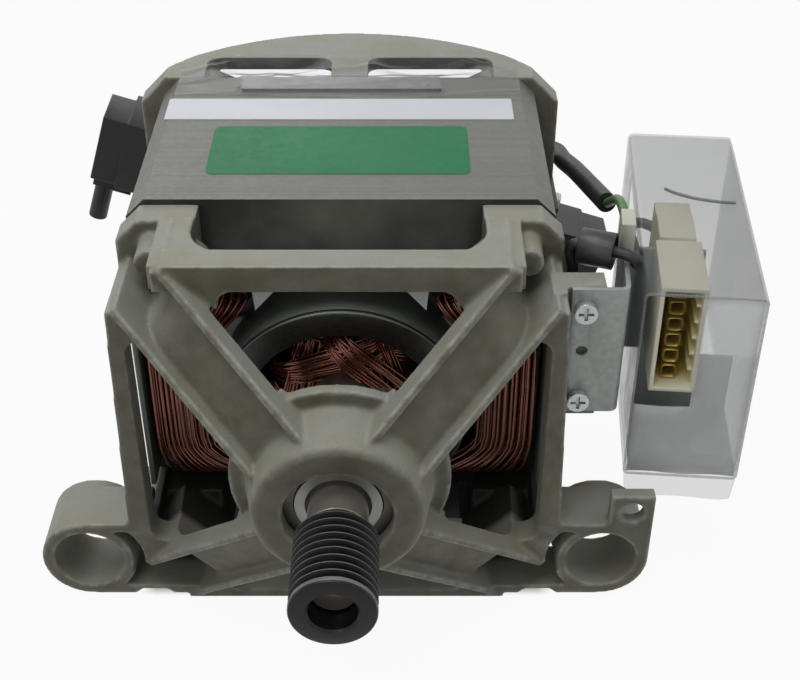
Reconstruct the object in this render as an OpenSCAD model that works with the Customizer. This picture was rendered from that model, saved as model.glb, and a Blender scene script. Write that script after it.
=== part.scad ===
// Universal washing machine motor: die-cast end shields, wound stator, commutator
// rotor, poly-V pulley, two brushes and a side connector. Millimetres.
// X is to the right, Y runs rearward along the shaft and Z is up. The origin is
// the middle of the belt run on the shaft axis.

/* [Pulley and shaft] */
// Number of belt grooves
groove_count = 9; // [6:1:10]
// Pitch of the belt grooves
groove_pitch = 2.34; // [2.3:0.01:2.5]
// Depth of a belt groove
groove_depth = 1.9; // [1.5:0.1:2.2]
// Outside diameter of the pulley
pulley_d = 20.6; // [20:0.1:24]
// Length of the plain collar in front of the grooves
pulley_collar = 1.6; // [1:0.1:3]
// Length of the tapered neck behind the grooves
pulley_neck = 3.5; // [2:0.5:5]
// Diameter of the shaft nose inside the pulley
shaft_nose_d = 11.4; // [9:0.1:12]
// Depth of the shaft end inside the pulley bore
nose_recess = 6; // [2:1:10]
// Diameter of the shaft between the bearings
shaft_body_d = 18; // [17:0.5:19]

/* [Bearings] */
// Bore of the front bearing
front_bore = 15; // [15:0.5:16]
// Outside diameter of the front bearing
front_od = 35; // [34:0.5:36]
// Width of the front bearing
front_bearing_w = 11; // [10:0.5:12]
// Bore of the rear bearing
rear_bore = 12; // [11:0.5:13]
// Outside diameter of the rear bearing
rear_od = 32; // [31:0.5:33]
// Width of the rear bearing
rear_bearing_w = 10; // [9:0.5:11]
// Diameter of the bearing balls
ball_d = 5.95; // [5.5:0.05:6.1]
// Balls in the front bearing
front_balls = 8; // [7:1:8]
// Balls in the rear bearing
rear_balls = 7; // [6:1:7]

/* [Front shield] */
// Distance from the belt middle to the hub face
hub_face_y = 18.9; // [17:0.1:24]
// Diameter of the hub at its face
hub_d = 42.4; // [41:0.2:44]
// Diameter of the hub at its rear rim
hub_rear_d = 50; // [47:0.5:52]
// Length of the hub
hub_len = 20.6; // [19:0.1:23]
// Thickness of the lip in front of the bearing
hub_lip = 4.5; // [3:0.1:6]
// Diameter of the opening in the lip
hub_opening_d = 27.2; // [25:0.1:29]
// Width of the front frame at its foot
frame_w = 118.4; // [117:0.2:122]
// Width of the front frame at its shoulders
shoulder_w = 112.4; // [111:0.2:116]
// Height of the front frame and of the stack's flats
frame_h = 110; // [108:1:114]
// Distance from the hub face back to the front frame
frame_setback = 26.6; // [25:0.2:29]
// Depth of the front frame bars
frame_depth = 8; // [6:0.5:10]
// Width of the frame's side bars
side_bar = 6.4; // [5:0.2:8]
// Height of the frame's top bar
top_bar = 7.2; // [5:0.2:9]
// Height of the frame's bottom bar
bottom_bar = 2.8; // [2:0.2:5]
// Radius in the corners of the windows
window_r = 4; // [2:0.5:5]
// Width of an arm over its ribs
arm_w = 18.8; // [17:0.2:20]
// Thickness of an arm's ribs
rib_t = 2.2; // [1.5:0.1:3]
// Depth of an arm's floor behind its rib edges
floor_drop = 3.6; // [2:0.2:5]
// Thickness of an arm's floor
floor_t = 3; // [2:0.2:4]
// Distance from the hub face back to the stack
shield_depth = 58.4; // [56:0.2:62]
// Thickness of the corner plates on the stack
corner_plate_t = 8.6; // [7:0.2:11]
// Diameter of the screw bosses on the corner plates
boss_d = 7.3; // [6.5:0.1:9]
// Length of the screw bosses
boss_len = 9.5; // [7:0.5:11]

/* [Mounting lugs] */
// Distance of each lug tube from the shaft axis, sideways
lug_x = 70.3; // [68:0.1:78]
// Distance of the lug tubes below the shaft axis
lug_drop = 40.5; // [36:0.5:42]
// Bore of the lug tubes
lug_bore_d = 19.3; // [16:0.1:20]
// Wall of the lug tubes
lug_wall = 3.35; // [2.5:0.05:4]
// Length of the lug tubes
lug_len = 19; // [16:0.5:24]
// Diameter of the hole in the tab on the right lug
tab_hole_d = 6.6; // [4:0.1:8]
// Thickness of the tab
tab_t = 4; // [3:0.5:6]

/* [Stator] */
// Side of the square lamination stack
stack_w = 110; // [110:1:114]
// Length of the lamination stack
stack_len = 72; // [60:1:80]
// Spacing of the four through bolts
bolt_pitch = 94; // [93:0.5:96]
// Diameter of the through bolts
bolt_d = 4; // [3.5:0.1:4.2]
// Bore of the stator
stator_bore_d = 61.2; // [60:0.2:62]
// Air gap between rotor and stator
air_gap = 0.6; // [0.4:0.1:1]
// Height of a pole neck, which a field coil goes round
neck_h = 40; // [36:1:41]
// Turns in the outer layer of a field coil
coil_turns = 9; // [5:1:9]
// Step from turn to turn
coil_step = 1.45; // [1.45:0.01:1.5]
// Thickness of the field coil wire
coil_wire_d = 1; // [0.8:0.05:1]
// Distance that the field coils stand out from the stack
coil_overhang = 13; // [10:0.5:14]

/* [Rotor] */
// Slots in the rotor core
rotor_slots = 12; // [8:1:14]
// Loops in the outer layer of the front armature winding
armature_loops = 12; // [7:1:13]
// Diameter of the commutator
commutator_d = 32; // [30:0.5:34]
// Length of the commutator
commutator_len = 20; // [18:0.5:21]
// Bars round the commutator, two for each cut
commutator_bars_n = 24; // [16:2:32]

/* [Brushes] */
// Tilt of the brush line from level, left end up
brush_tilt = 18; // [14:1:20]
// Thickness of a brush round the commutator
brush_t = 5; // [4:0.5:6]
// Width of a brush along the shaft
brush_w = 13.5; // [11:0.5:14]
// Length of a new brush
brush_len = 32; // [26:1:33]
// Travel of a brush away from the commutator
brush_travel = 4; // [2:0.5:5]

/* [Rear shield] */
// Width of the rear shield
rear_w = 125; // [122:1:130]
// Thickness of the rear shield's flange
rear_flange_t = 8; // [6:0.5:9]
// Thickness of the rear shield's top and bottom plates
rear_plate_t = 4; // [3:0.5:6]
// Distance from the stack to the back of the curved plates
rear_plate_depth = 32.8; // [30:0.2:38]

/* [Connector] */
// Turn of the connector bracket, its rear outward
bracket_turn = 5; // [0:1:7]
// Thickness of the bracket's sheet
sheet_t = 1.2; // [0.8:0.1:1.5]
// Number of contacts
contact_count = 6; // [3:1:6]
// Spacing of the contacts
contact_pitch = 5; // [4.8:0.1:5]
// Thickness of the clear cover's film
film_t = 0.6; // [0.5:0.1:1]

/* [Hidden] */
$fn = 64;

// Clearances
eps = 0.02;
run_gap = 0.06;
fit_gap = 0.15;
free_gap = 0.3;
over = 1;

// Places along the shaft
groove_span = groove_count * groove_pitch;
pulley_front_y = -groove_span / 2 - pulley_collar;
pulley_rear_y = groove_span / 2 + pulley_neck;
front_bearing_y = hub_face_y + hub_lip;
front_bearing_end = front_bearing_y + front_bearing_w;
hub_rear_y = hub_face_y + hub_len;
frame_front_y = hub_face_y + frame_setback;
frame_rear_y = frame_front_y + frame_depth;
stack_y = hub_face_y + shield_depth;
stack_end = stack_y + stack_len;
stack_mid = stack_y + stack_len / 2;
pocket_y = stack_y - corner_plate_t;
rear_flange_end = stack_end + rear_flange_t;
winding_rear_len = 12;
commutator_y = stack_end + winding_rear_len + 2;
commutator_end = commutator_y + commutator_len;
brush_y = commutator_y + commutator_len / 2;
rear_bearing_y = commutator_end + 3.5;
rear_bearing_end = rear_bearing_y + rear_bearing_w;
rear_hub_end = rear_bearing_end + 2.5;
magnet_len = 7;
shaft_end = rear_hub_end + 1.5 + magnet_len;

// Radii
hub_r = hub_d / 2;
rotor_r = stator_bore_d / 2 - air_gap;
commutator_r = commutator_d / 2;
shaft_r = shaft_body_d / 2;
shaft_tail_d = 10;

// Turns a profile of radius and depth about the shaft axis
module turned() {
    rotate([-90, 0, 0]) rotate_extrude($fn = 96) children();
}

// Draws an upright outline out along the shaft
module along_y(y, len) {
    translate([0, y + len, 0]) rotate([90, 0, 0]) linear_extrude(len) children();
}

module rod(d, y0, y1) {
    translate([0, y0, 0]) rotate([-90, 0, 0]) cylinder(d = d, h = y1 - y0);
}

module ring(d_out, d_in, y0, y1) {
    turned() translate([d_in / 2, y0]) square([(d_out - d_in) / 2, y1 - y0]);
}

module four_corners(x, z) {
    for (sx = [-1, 1], sz = [-1, 1]) translate([sx * x, 0, sz * z]) children();
}

// Box from its lowest to its highest corner
module block(a, b) {
    translate(a) cube(b - a);
}

// Arc that rounds the corner p between its neighbours a and b
function corner_arc(p, a, b, r, steps = 6) =
    let (u = (a - p) / norm(a - p), w = (b - p) / norm(b - p))
    let (half = acos(u * w) / 2, m = (u + w) / norm(u + w))
    let (c = p + m * r / sin(half), p0 = p + u * r / tan(half) - c)
    let (p1 = p + w * r / tan(half) - c, a0 = atan2(p0.y, p0.x))
    let (turn = atan2(p0.x * p1.y - p0.y * p1.x, p0 * p1))
    [for (i = [0 : steps]) c + r * [cos(a0 + turn * i / steps), sin(a0 + turn * i / steps)]];

function rounded(pts, r) =
    let (n = len(pts))
    [for (i = [0 : n - 1]) each corner_arc(pts[i], pts[(i + n - 1) % n], pts[(i + 1) % n], r)];

function rectangle(x0, y0, x1, y1) = [[x0, y0], [x1, y0], [x1, y1], [x0, y1]];

function octagon(w, h, c) = [
    [w / 2 - c, -h / 2], [w / 2, -h / 2 + c], [w / 2, h / 2 - c], [w / 2 - c, h / 2],
    [-w / 2 + c, h / 2], [-w / 2, h / 2 - c], [-w / 2, -h / 2 + c], [-w / 2 + c, -h / 2]
];

// Tube of triangles along points; each ring's first corner lies across its side vector
function along(pts, i) =
    let (d = pts[min(i + 1, len(pts) - 1)] - pts[max(i - 1, 0)]) d / norm(d);

function ring_at(pts, sides, i, r, n) =
    let (t = along(pts, i), c = cross(t, sides[i]), u = c / norm(c), w = cross(u, t))
    [for (k = [0 : n - 1]) pts[i] + r * (cos(360 * k / n) * u + sin(360 * k / n) * w)];

module swept(pts, sides, d, n) {
    last = (len(pts) - 1) * n;
    polyhedron(
        points = [for (i = [0 : len(pts) - 1]) each ring_at(pts, sides, i, d / 2, n)],
        faces = [
            for (i = [0 : len(pts) - 2], k = [0 : n - 1])
                let (a = i * n + k, b = i * n + (k + 1) % n)
                each [[a, b, b + n], [a, b + n, a + n]],
            for (k = [1 : n - 2]) [0, k + 1, k],
            for (k = [1 : n - 2]) [last, last + k, last + k + 1]
        ]
    );
}

// Least gap of a wire to itself, on points at least half a loop apart
function least_gap(pts, per_loop, d) =
    min([for (i = [0 : len(pts) - 1], j = [i + per_loop / 2 : len(pts) - 1])
        norm(pts[i] - pts[j])]) - d;

// Front shield

arm_half = arm_w / 2;
rib_end = frame_h / 2 * sqrt(2) - arm_half;
rib_hub_y = hub_face_y + 4.1;
rib_start = hub_r - 5;
rib_slope = (frame_front_y - rib_hub_y) / (rib_end - hub_r);
rib_angle = atan(rib_slope);
boss_reach = bolt_pitch / 2 * sqrt(2);
roll_r = 12;
roll_wall = boss_reach - boss_d / 2 - 4;
roll_s = roll_wall - roll_r;
roll_touch_s = roll_s + roll_r * sin(rib_angle);
roll_touch_y = rib_y(roll_touch_s) + floor_drop;
roll_y = roll_touch_y + roll_r * cos(rib_angle);
post_in = 38.3;
post_out = 44;
post_fillet = 8;
shield_top = frame_h / 2 - 1.2;
bar_z = frame_h / 2 - top_bar;
sill_z = frame_h / 2 - bottom_bar;
bar_x = (frame_w + shoulder_w) / 4 - side_bar + 1;
rib_line = arm_half * sqrt(2);
wall_top = (rib_end - arm_half) / sqrt(2);
wall_low = 34;
corner_in = 36;
corner_x = shoulder_w / 2 + 0.5;
corner_cut = 6;
bore_clear = 46;

function rib_y(s) = rib_hub_y + (s - hub_r) * rib_slope;

// Lugs
lug_y = frame_front_y - free_gap;
lug_r = lug_bore_d / 2 + lug_wall;
lug_end = lug_y + lug_len;
web_t = 3;
web_end = lug_y + 16;
tab_w = 12;
tab_top = -17.4;
tab_hole_z = -23.2;

// Screw ear for the bracket
flange_y = frame_rear_y + 0.5;
ear_y = flange_y + sheet_t;
ear_end = ear_y + 7;
ear_low = 3;
ear_high = 43;
ear_wall = half_at(ear_low);
ear_x = ear_wall + 8.6;
flange_screw_x = ear_wall + 3.5;
flange_screw_z = [37, 9.4];
flange_hole_z = 24.5;
screw_d = 3;

module arm(angle) {
    rotate([0, -angle, 0]) {
        for (side = [-1, 1])
            translate([0, 0, side > 0 ? arm_half - rib_t : -arm_half])
                linear_extrude(rib_t) arm_rib_outline();
        translate([0, 0, -arm_half]) linear_extrude(arm_w) arm_floor_outline();
    }
}

module arm_rib_outline() {
    polygon([
        [rib_start, rib_y(rib_start)], [rib_end, frame_front_y], [rib_end, pocket_y],
        [roll_wall - floor_t, pocket_y], [roll_wall - floor_t, roll_y],
        [roll_s, frame_rear_y], [hub_r, hub_rear_y], [rib_start, hub_rear_y]
    ]);
}

// The floor rolls over at its outer end and runs back to the corner plate
module arm_floor_outline() {
    back = floor_t / cos(rib_angle);
    near = rib_y(rib_start) + floor_drop;
    far = 3 * roll_r;
    polygon([
        [rib_start, near], [roll_touch_s, roll_touch_y],
        [roll_touch_s - floor_t * sin(rib_angle), roll_touch_y + floor_t * cos(rib_angle)],
        [rib_start, near + back]
    ]);
    translate([roll_s, roll_y]) intersection() {
        difference() {
            circle(r = roll_r);
            circle(r = roll_r - floor_t);
        }
        polygon([[0, 0], far * [sin(rib_angle), -cos(rib_angle)], [far, -far], [far, 0]]);
    }
    translate([roll_wall - floor_t, roll_y]) square([floor_t, pocket_y - roll_y]);
}

// Bars round the windows, cut where the arms' channels run out
module frame_bars() {
    side_h = bar_x - rib_line;
    top_h = bar_z - rib_line;
    low_h = sill_z - rib_line;
    along_y(frame_front_y, frame_depth) difference() {
        polygon([
            [-frame_w / 2, -frame_h / 2], [frame_w / 2, -frame_h / 2],
            [shoulder_w / 2, wall_top], [post_out, frame_h / 2],
            [-post_out, frame_h / 2], [-shoulder_w / 2, wall_top]
        ]);
        circle(r = bore_clear);
        polygon(rounded([[-top_h, bar_z], [top_h, bar_z], [0, rib_line]], window_r));
        polygon(rounded([[-low_h, -sill_z], [low_h, -sill_z], [0, -rib_line]], window_r));
        for (s = [-1, 1])
            polygon(rounded([[s * bar_x, side_h], [s * bar_x, -side_h], [s * rib_line, 0]], window_r));
        for (a = [45 : 90 : 315])
            rotate(a) translate([0, -arm_half + eps]) square([frame_w, arm_w - 2 * eps]);
    }
}

// Width of the frame on one side at a height
function half_at(z) =
    frame_w / 2 + (shoulder_w - frame_w) / 2 * (z + frame_h / 2) / (wall_top + frame_h / 2);

module corner_plates() {
    top = shield_top;
    for (sx = [-1, 1], sz = [-1, 1]) {
        along_y(pocket_y, corner_plate_t) scale([sx, sz]) polygon([
            [corner_in, corner_in], [corner_x, corner_in], [corner_x, top - corner_cut],
            [corner_x - corner_cut, top], [corner_in, top]
        ]);
        translate([sx * bolt_pitch / 2, 0, sz * bolt_pitch / 2])
            rod(boss_d, pocket_y - boss_len, pocket_y);
        along_y(frame_front_y, shield_depth - frame_setback) scale([sx, 1]) polygon([
            [bar_x, sz * wall_low], [bar_x, sz * wall_top],
            [half_at(sz * wall_top), sz * wall_top], [half_at(sz * wall_low), sz * wall_low]
        ]);
    }
}

// Posts that carry the top and bottom bars back to the stack, filleted into the bars
module posts() {
    for (span = [[bar_z, shield_top], [-frame_h / 2, -sill_z]])
        translate([0, 0, span[0]]) linear_extrude(span[1] - span[0]) difference() {
            translate([-post_out, frame_front_y])
                square([2 * post_out, shield_depth - frame_setback]);
            polygon(rounded(
                rectangle(-post_in, frame_rear_y, post_in, stack_y + 3 * post_fillet), post_fillet));
        }
}

module hub_body() {
    turned() polygon(concat(
        [[hub_opening_d / 2 - over, hub_face_y]],
        corner_arc([hub_r, hub_face_y], [0, hub_face_y], [hub_rear_d / 2, hub_rear_y], 2.5),
        [[hub_rear_d / 2, hub_rear_y], [hub_opening_d / 2 - over, hub_rear_y]]
    ));
}

module lug(side) {
    top = frame_h / 2;
    translate([side * lug_x, 0, -lug_drop]) rod(2 * lug_r, lug_y, lug_end);
    web_in = side * (bar_x + 1);
    block([min(side * lug_x, web_in), lug_y, -lug_drop + lug_r - web_t],
          [max(side * lug_x, web_in), web_end, -lug_drop + lug_r]);
    block([min(side * lug_x, side * post_in), lug_y, -lug_drop - lug_r],
          [max(side * lug_x, side * post_in), web_end, -lug_drop - lug_r + web_t]);
    block([min(side * post_in, side * post_out), lug_y, -top],
          [max(side * post_in, side * post_out), web_end, -lug_drop - lug_r + web_t]);
}

module tab() {
    right = lug_x + lug_r;
    block([right - tab_w, lug_y, -lug_drop], [right, lug_y + tab_t, tab_top]);
}

module screw_ear() {
    block([bar_x, frame_rear_y - over, ear_low], [shoulder_w / 2, ear_end, ear_high]);
    block([bar_x, ear_y, ear_low], [ear_x, ear_end, ear_high]);
}

module front_end_shield() {
    color("#8b8a83") difference() {
        union() {
            hub_body();
            frame_bars();
            corner_plates();
            posts();
            for (a = [45 : 90 : 315]) arm(a);
            for (side = [-1, 1]) lug(side);
            tab();
            screw_ear();
        }
        rod(hub_opening_d, hub_face_y - over, front_bearing_y + over);
        rod(front_od + 2 * eps, front_bearing_y, hub_rear_y + over);
        four_corners(bolt_pitch / 2, bolt_pitch / 2)
            rod(bolt_d + 2 * fit_gap, pocket_y - boss_len + 2, stack_y + over);
        for (side = [-1, 1])
            translate([side * lug_x, 0, -lug_drop]) rod(lug_bore_d, lug_y - over, lug_end + over);
        translate([lug_x + lug_r - tab_w / 2, 0, tab_hole_z])
            rod(tab_hole_d, lug_y - over, lug_y + tab_t + over);
        for (z = flange_screw_z)
            translate([flange_screw_x, 0, z]) rod(screw_d + 2 * eps, ear_y - over, ear_end + over);
    }
}

// Rear shield

plate_ends = [48.4, 17.6];
rear_cut = 8;
plate_r = (pow(plate_ends.x, 2) + pow(plate_ends.y, 2)) / (2 * plate_ends.y);
rear_hub_r = rear_od / 2 + 5;
rear_arm_w = 14;
rear_arm_t = 6;
rear_open_x = stack_w / 2 - 1;
rear_open_z = stack_w / 2 - 14;
rear_gap_x = 38;
rear_win_in = 5.5;
rear_win_out = 43;
saddle_in = 58;
saddle_t = 3;
saddle_w = 27;
saddle_h = 46;
tube_wall = 0.7;
holder_wall = 2;
tube_t = brush_t + 2 * run_gap + 2 * tube_wall;
tube_w = brush_w + 2 * run_gap + 2 * tube_wall;
holder_t = tube_t + 2 * holder_wall;
holder_w = tube_w + 2 * holder_wall;

// Places along the brush line, measured out from the shaft axis
brush_in = commutator_r + fit_gap;
tube_in = commutator_r + 3;
holder_in = commutator_r + 11;
saddle_out = saddle_in + saddle_t;
tube_out = saddle_out;
flange_t = 2;
cap_out = saddle_out + flange_t + 22;
cap_up = 9.5;
cap_down = 14.5;
holder_screw_z = 20;
spring_d = 4.6;

// Frame on the brush line: local X runs out from the shaft, local Y along it
module brush_frame(side) {
    translate([0, brush_y, 0]) rotate([0, brush_tilt + (side < 0 ? 180 : 0), 0]) children();
}

module rear_arm(angle) {
    far = bolt_pitch / 2 * sqrt(2);
    near = rear_hub_r - 4;
    rotate([0, -angle, 0]) translate([0, 0, -rear_arm_w / 2]) linear_extrude(rear_arm_w) polygon([
        [far, rear_flange_end - 3], [far, rear_flange_end + rear_arm_t],
        [near, rear_hub_end - 1], [near, rear_hub_end - 1 - 2 * rear_arm_t]
    ]);
}

// Top and bottom plates: curved at the back, with two windows open to the stack
module rear_plates() {
    back = stack_end + rear_plate_depth;
    chord = back - plate_ends.y;
    front_x = rear_w / 2 - rear_cut;
    win_y = stack_end - 2 * window_r;
    for (z = [-stack_w / 2, stack_w / 2 - rear_plate_t])
        translate([0, 0, z]) linear_extrude(rear_plate_t) difference() {
            intersection() {
                polygon([
                    [-front_x, stack_end], [front_x, stack_end], [front_x, rear_flange_end],
                    [plate_ends.x, chord], [plate_ends.x, back], [-plate_ends.x, back],
                    [-plate_ends.x, chord], [-front_x, rear_flange_end]
                ]);
                translate([0, back - plate_r]) circle(r = plate_r, $fn = 128);
            }
            for (s = [-1, 1])
                translate([s * (rear_win_in + rear_win_out) / 2, 0]) polygon(rounded(
                    rectangle((rear_win_in - rear_win_out) / 2, win_y,
                              (rear_win_out - rear_win_in) / 2, chord - 1), window_r));
        }
}

module rear_end_shield() {
    color("#84837c") difference() {
        union() {
            along_y(stack_end, rear_flange_t) difference() {
                polygon(octagon(rear_w, stack_w, rear_cut));
                polygon(rounded(rectangle(-rear_open_x, -rear_open_z, rear_open_x, rear_open_z), 8));
                square([2 * rear_gap_x, stack_w - 2 * rear_plate_t], center = true);
                for (sx = [-1, 1], sz = [-1, 1])
                    translate([sx * (rear_win_in + rear_win_out) / 2, sz * stack_w / 2])
                        square([rear_win_out - rear_win_in, 2 * rear_plate_t], center = true);
            }
            rear_plates();
            for (a = [45 : 90 : 315]) rear_arm(a);
            rod(2 * rear_hub_r, rear_bearing_y - 1.5, rear_hub_end);
            for (side = [-1, 1]) brush_frame(side)
                translate([saddle_in, rear_flange_end - brush_y - over, -saddle_h / 2])
                    cube([saddle_t, saddle_w + over, saddle_h]);
        }
        rod(rear_od + 2 * eps, rear_bearing_y - 2 * over, rear_bearing_end);
        rod(rear_od - 8, rear_bearing_y, rear_hub_end + over);
        four_corners(bolt_pitch / 2, bolt_pitch / 2)
            rod(bolt_d + 2 * fit_gap, stack_end - over, rear_flange_end + 2 * rear_arm_t);
        four_corners(bolt_pitch / 2, bolt_pitch / 2)
            rod(2 * bolt_d + 1.6, rear_flange_end, rear_flange_end + 3 * rear_arm_t);
        for (side = [-1, 1]) brush_frame(side) {
            translate([saddle_in - over, -holder_w / 2 - eps, -holder_t / 2 - eps])
                cube([saddle_t + 2 * over, holder_w + 2 * eps, holder_t + 2 * eps]);
            for (z = [-holder_screw_z, holder_screw_z])
                translate([saddle_in - over, 0, z]) rotate([0, 90, 0])
                    cylinder(d = screw_d + 2 * eps, h = saddle_t + 2 * over);
        }
    }
}

// Stator

slot_x = stack_w / 2 - 4;
slot_z = stack_w / 2 - 15;
tip_r = stator_bore_d / 2 + 4.5;
tip_angle = 55;

module stator_core() {
    color("#807d76") along_y(stack_y, stack_len) difference() {
        polygon(octagon(stack_w, stack_w, 5));
        circle(d = stator_bore_d);
        difference() {
            for (s = [-1, 1])
                translate([-slot_x, s > 0 ? neck_h / 2 : -slot_z])
                    square([2 * slot_x, slot_z - neck_h / 2]);
            intersection() {
                circle(r = tip_r);
                for (s = [-1, 1])
                    polygon([[0, 0], [s * stack_w, stack_w * tan(tip_angle)],
                             [s * stack_w, -stack_w * tan(tip_angle)]]);
            }
        }
        for (sx = [-1, 1], sz = [-1, 1])
            translate([sx, sz] * bolt_pitch / 2) circle(d = bolt_d + 2 * fit_gap);
    }
}

// Field coils: a plain core under one wound outer layer

coil_in = 36.4;
coil_rings = 24;
coil_half_y = stack_len / 2 + coil_overhang;
coil_half_z = slot_z - 4.6;
coil_corner = 12;
coil_bow = 1;
coil_core_gap = coil_wire_d / 2 + 0.25;
coil_core_in = neck_h / 2;
coil_w = coil_turns * coil_step + coil_wire_d;

// Point of a rounded rectangle, the share q of the way round from its rear middle
function loop_point(q) =
    let (a = 360 * q, e = 0.42)
    let (c = cos(a), s = sin(a))
    [sign(c) * pow(abs(c), e) * coil_half_y, sign(s) * pow(abs(s), e) * coil_half_z];

function coil_path(side) = [
    for (i = [0 : coil_turns * coil_rings])
        let (q = i / coil_rings, p = loop_point(q - floor(q)))
        let (bow = coil_bow * pow(cos(90 * p.y / coil_half_z), 2) * (p.x < -stack_len / 2 ? 1 : 0))
        [side * (coil_in + coil_wire_d / 2 + coil_step * q + bow), stack_mid + p.x, p.y]
];

module field_coil(side) {
    path = coil_path(side);
    echo(str("field coil least gap ", least_gap(path, coil_rings, coil_wire_d)));
    swept(path, [for (p = path) [1, 0, 0]], coil_wire_d, 6);
    core_y = coil_half_y - coil_core_gap - 1.2;
    core_z = coil_half_z - coil_core_gap - 0.8;
    in_y = stack_len / 2 + 2.5;
    translate([side > 0 ? coil_in : -coil_in - coil_w, stack_mid, 0])
        rotate([90, 0, 90]) linear_extrude(coil_w) difference() {
            polygon(rounded(rectangle(-core_y, -core_z, core_y, core_z), coil_corner));
            polygon(rounded(rectangle(-in_y, -coil_core_in, in_y, coil_core_in), 2));
        }
}

module field_coil_left() {
    color("#7a3b28") field_coil(-1);
}

module field_coil_right() {
    color("#7a3b28") field_coil(1);
}

// Coil formers: a ring wall round the rotor's winding, a face on each pole and a cheek

former_ring_d = 66;
former_t = 1.5;
former_front_len = 18.6;
former_rear_len = 9;
cheek_x = stack_w / 2 - 0.2;
cheek_rear_x = rear_open_x - 0.6;
cheek_h = 29;
cheek_len = 14;
cheek_rear_len = rear_flange_t - 2;

module coil_former(face, len) {
    dir = face == stack_y ? -1 : 1;
    ring(former_ring_d, former_ring_d - 4, min(face, face + dir * len), max(face, face + dir * len));
    y0 = min(face, face + dir * former_t);
    y1 = max(face, face + dir * former_t);
    reach = dir < 0 ? cheek_len : cheek_rear_len;
    side_x = dir < 0 ? cheek_x : cheek_rear_x;
    c0 = min(face, face + dir * reach);
    c1 = max(face, face + dir * reach);
    for (s = [-1, 1]) {
        difference() {
            block([s > 0 ? former_ring_d / 2 - 12 : -side_x, y0, -neck_h / 2],
                  [s > 0 ? side_x : -former_ring_d / 2 + 12, y1, neck_h / 2]);
            rod(former_ring_d - 4, y0 - over, y1 + over);
        }
        block([s > 0 ? side_x - former_t : -side_x, c0, -cheek_h],
              [s > 0 ? side_x : -side_x + former_t, c1, cheek_h]);
    }
}

module coil_former_front() {
    color("#3d403e") coil_former(stack_y, former_front_len);
}

module coil_former_rear() {
    color("#3d403e") coil_former(stack_end, former_rear_len);
}

// Thin sheets between the coils and the yoke, top and bottom
module insulation_sheets() {
    sheet_out = 16;
    sheet_half = 32;
    paper_t = 0.6;
    color("#e8e8e2") for (s = [-1, 1])
        block([-sheet_half, stack_y - sheet_out, s > 0 ? slot_z - paper_t : -slot_z],
              [sheet_half, stack_end + sheet_out / 2, s > 0 ? slot_z : -slot_z + paper_t]);
}

module through_bolts() {
    head_h = 3.6;
    color("#b9bcc0") four_corners(bolt_pitch / 2, bolt_pitch / 2) {
        rod(bolt_d, pocket_y - boss_len + 3, rear_flange_end);
        difference() {
            rod(2 * bolt_d, rear_flange_end, rear_flange_end + head_h);
            translate([0, rear_flange_end + head_h, 0]) rotate([90, 0, 0])
                cylinder(d = bolt_d, h = 2, $fn = 6);
        }
    }
}

// Ball bearings

module bearing_groove(pitch_r, mid) {
    turned() translate([pitch_r, mid]) circle(d = ball_d + 2 * run_gap);
}

function pitch_r(bore, od) = (bore + od) / 4;
function land_in(bore, od) = pitch_r(bore, od) - 0.28 * ball_d;
function land_out(bore, od) = pitch_r(bore, od) + 0.45 * ball_d;

ring_chamfer = 0.8;

module bearing_outer(bore, od, y, w) {
    c = ring_chamfer;
    difference() {
        turned() polygon([
            [land_out(bore, od), y], [od / 2 - c, y], [od / 2, y + c], [od / 2, y + w - c],
            [od / 2 - c, y + w], [land_out(bore, od), y + w]
        ]);
        bearing_groove(pitch_r(bore, od), y + w / 2);
    }
}

module bearing_inner(bore, od, y, w) {
    c = ring_chamfer;
    difference() {
        turned() polygon([
            [bore / 2 + c, y], [land_in(bore, od), y], [land_in(bore, od), y + w],
            [bore / 2 + c, y + w], [bore / 2, y + w - c], [bore / 2, y + c]
        ]);
        bearing_groove(pitch_r(bore, od), y + w / 2);
    }
}

module bearing_shields(bore, od, y, w) {
    for (at = [y + 0.4, y + w - 0.8])
        ring(2 * land_out(bore, od) - 2 * eps, 2 * land_in(bore, od) + 2 * free_gap, at, at + 0.4);
}

module bearing_ball_set(bore, od, y, w, n) {
    for (i = [0 : n - 1])
        rotate([0, 360 * i / n, 0]) translate([pitch_r(bore, od), y + w / 2, 0]) sphere(d = ball_d);
}

module bearing_cage(bore, od, y, w, n) {
    half = ball_d / 2 + 0.7;
    difference() {
        ring(2 * pitch_r(bore, od) + 2, 2 * pitch_r(bore, od) - 2, y + w / 2 - half, y + w / 2 + half);
        for (i = [0 : n - 1])
            rotate([0, 360 * i / n, 0]) translate([0, y + w / 2, 0]) rotate([0, 90, 0])
                cylinder(d = ball_d + 2 * run_gap, h = od / 2);
    }
}

module front_bearing_outer_ring() {
    color("#aeb1b5") bearing_outer(front_bore, front_od, front_bearing_y, front_bearing_w);
}

module front_bearing_inner_ring() {
    color("#c3c6c9") bearing_inner(front_bore, front_od, front_bearing_y, front_bearing_w);
}

module front_bearing_shields() {
    color("#8c8f92") bearing_shields(front_bore, front_od, front_bearing_y, front_bearing_w);
}

module front_bearing_balls() {
    color("#d5d7da") bearing_ball_set(front_bore, front_od, front_bearing_y, front_bearing_w, front_balls);
}

module front_bearing_cage() {
    color("#9a8a58") bearing_cage(front_bore, front_od, front_bearing_y, front_bearing_w, front_balls);
}

module rear_bearing_outer_ring() {
    color("#aeb1b5") bearing_outer(rear_bore, rear_od, rear_bearing_y, rear_bearing_w);
}

module rear_bearing_inner_ring() {
    color("#c3c6c9") bearing_inner(rear_bore, rear_od, rear_bearing_y, rear_bearing_w);
}

module rear_bearing_shields() {
    color("#8c8f92") bearing_shields(rear_bore, rear_od, rear_bearing_y, rear_bearing_w);
}

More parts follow.
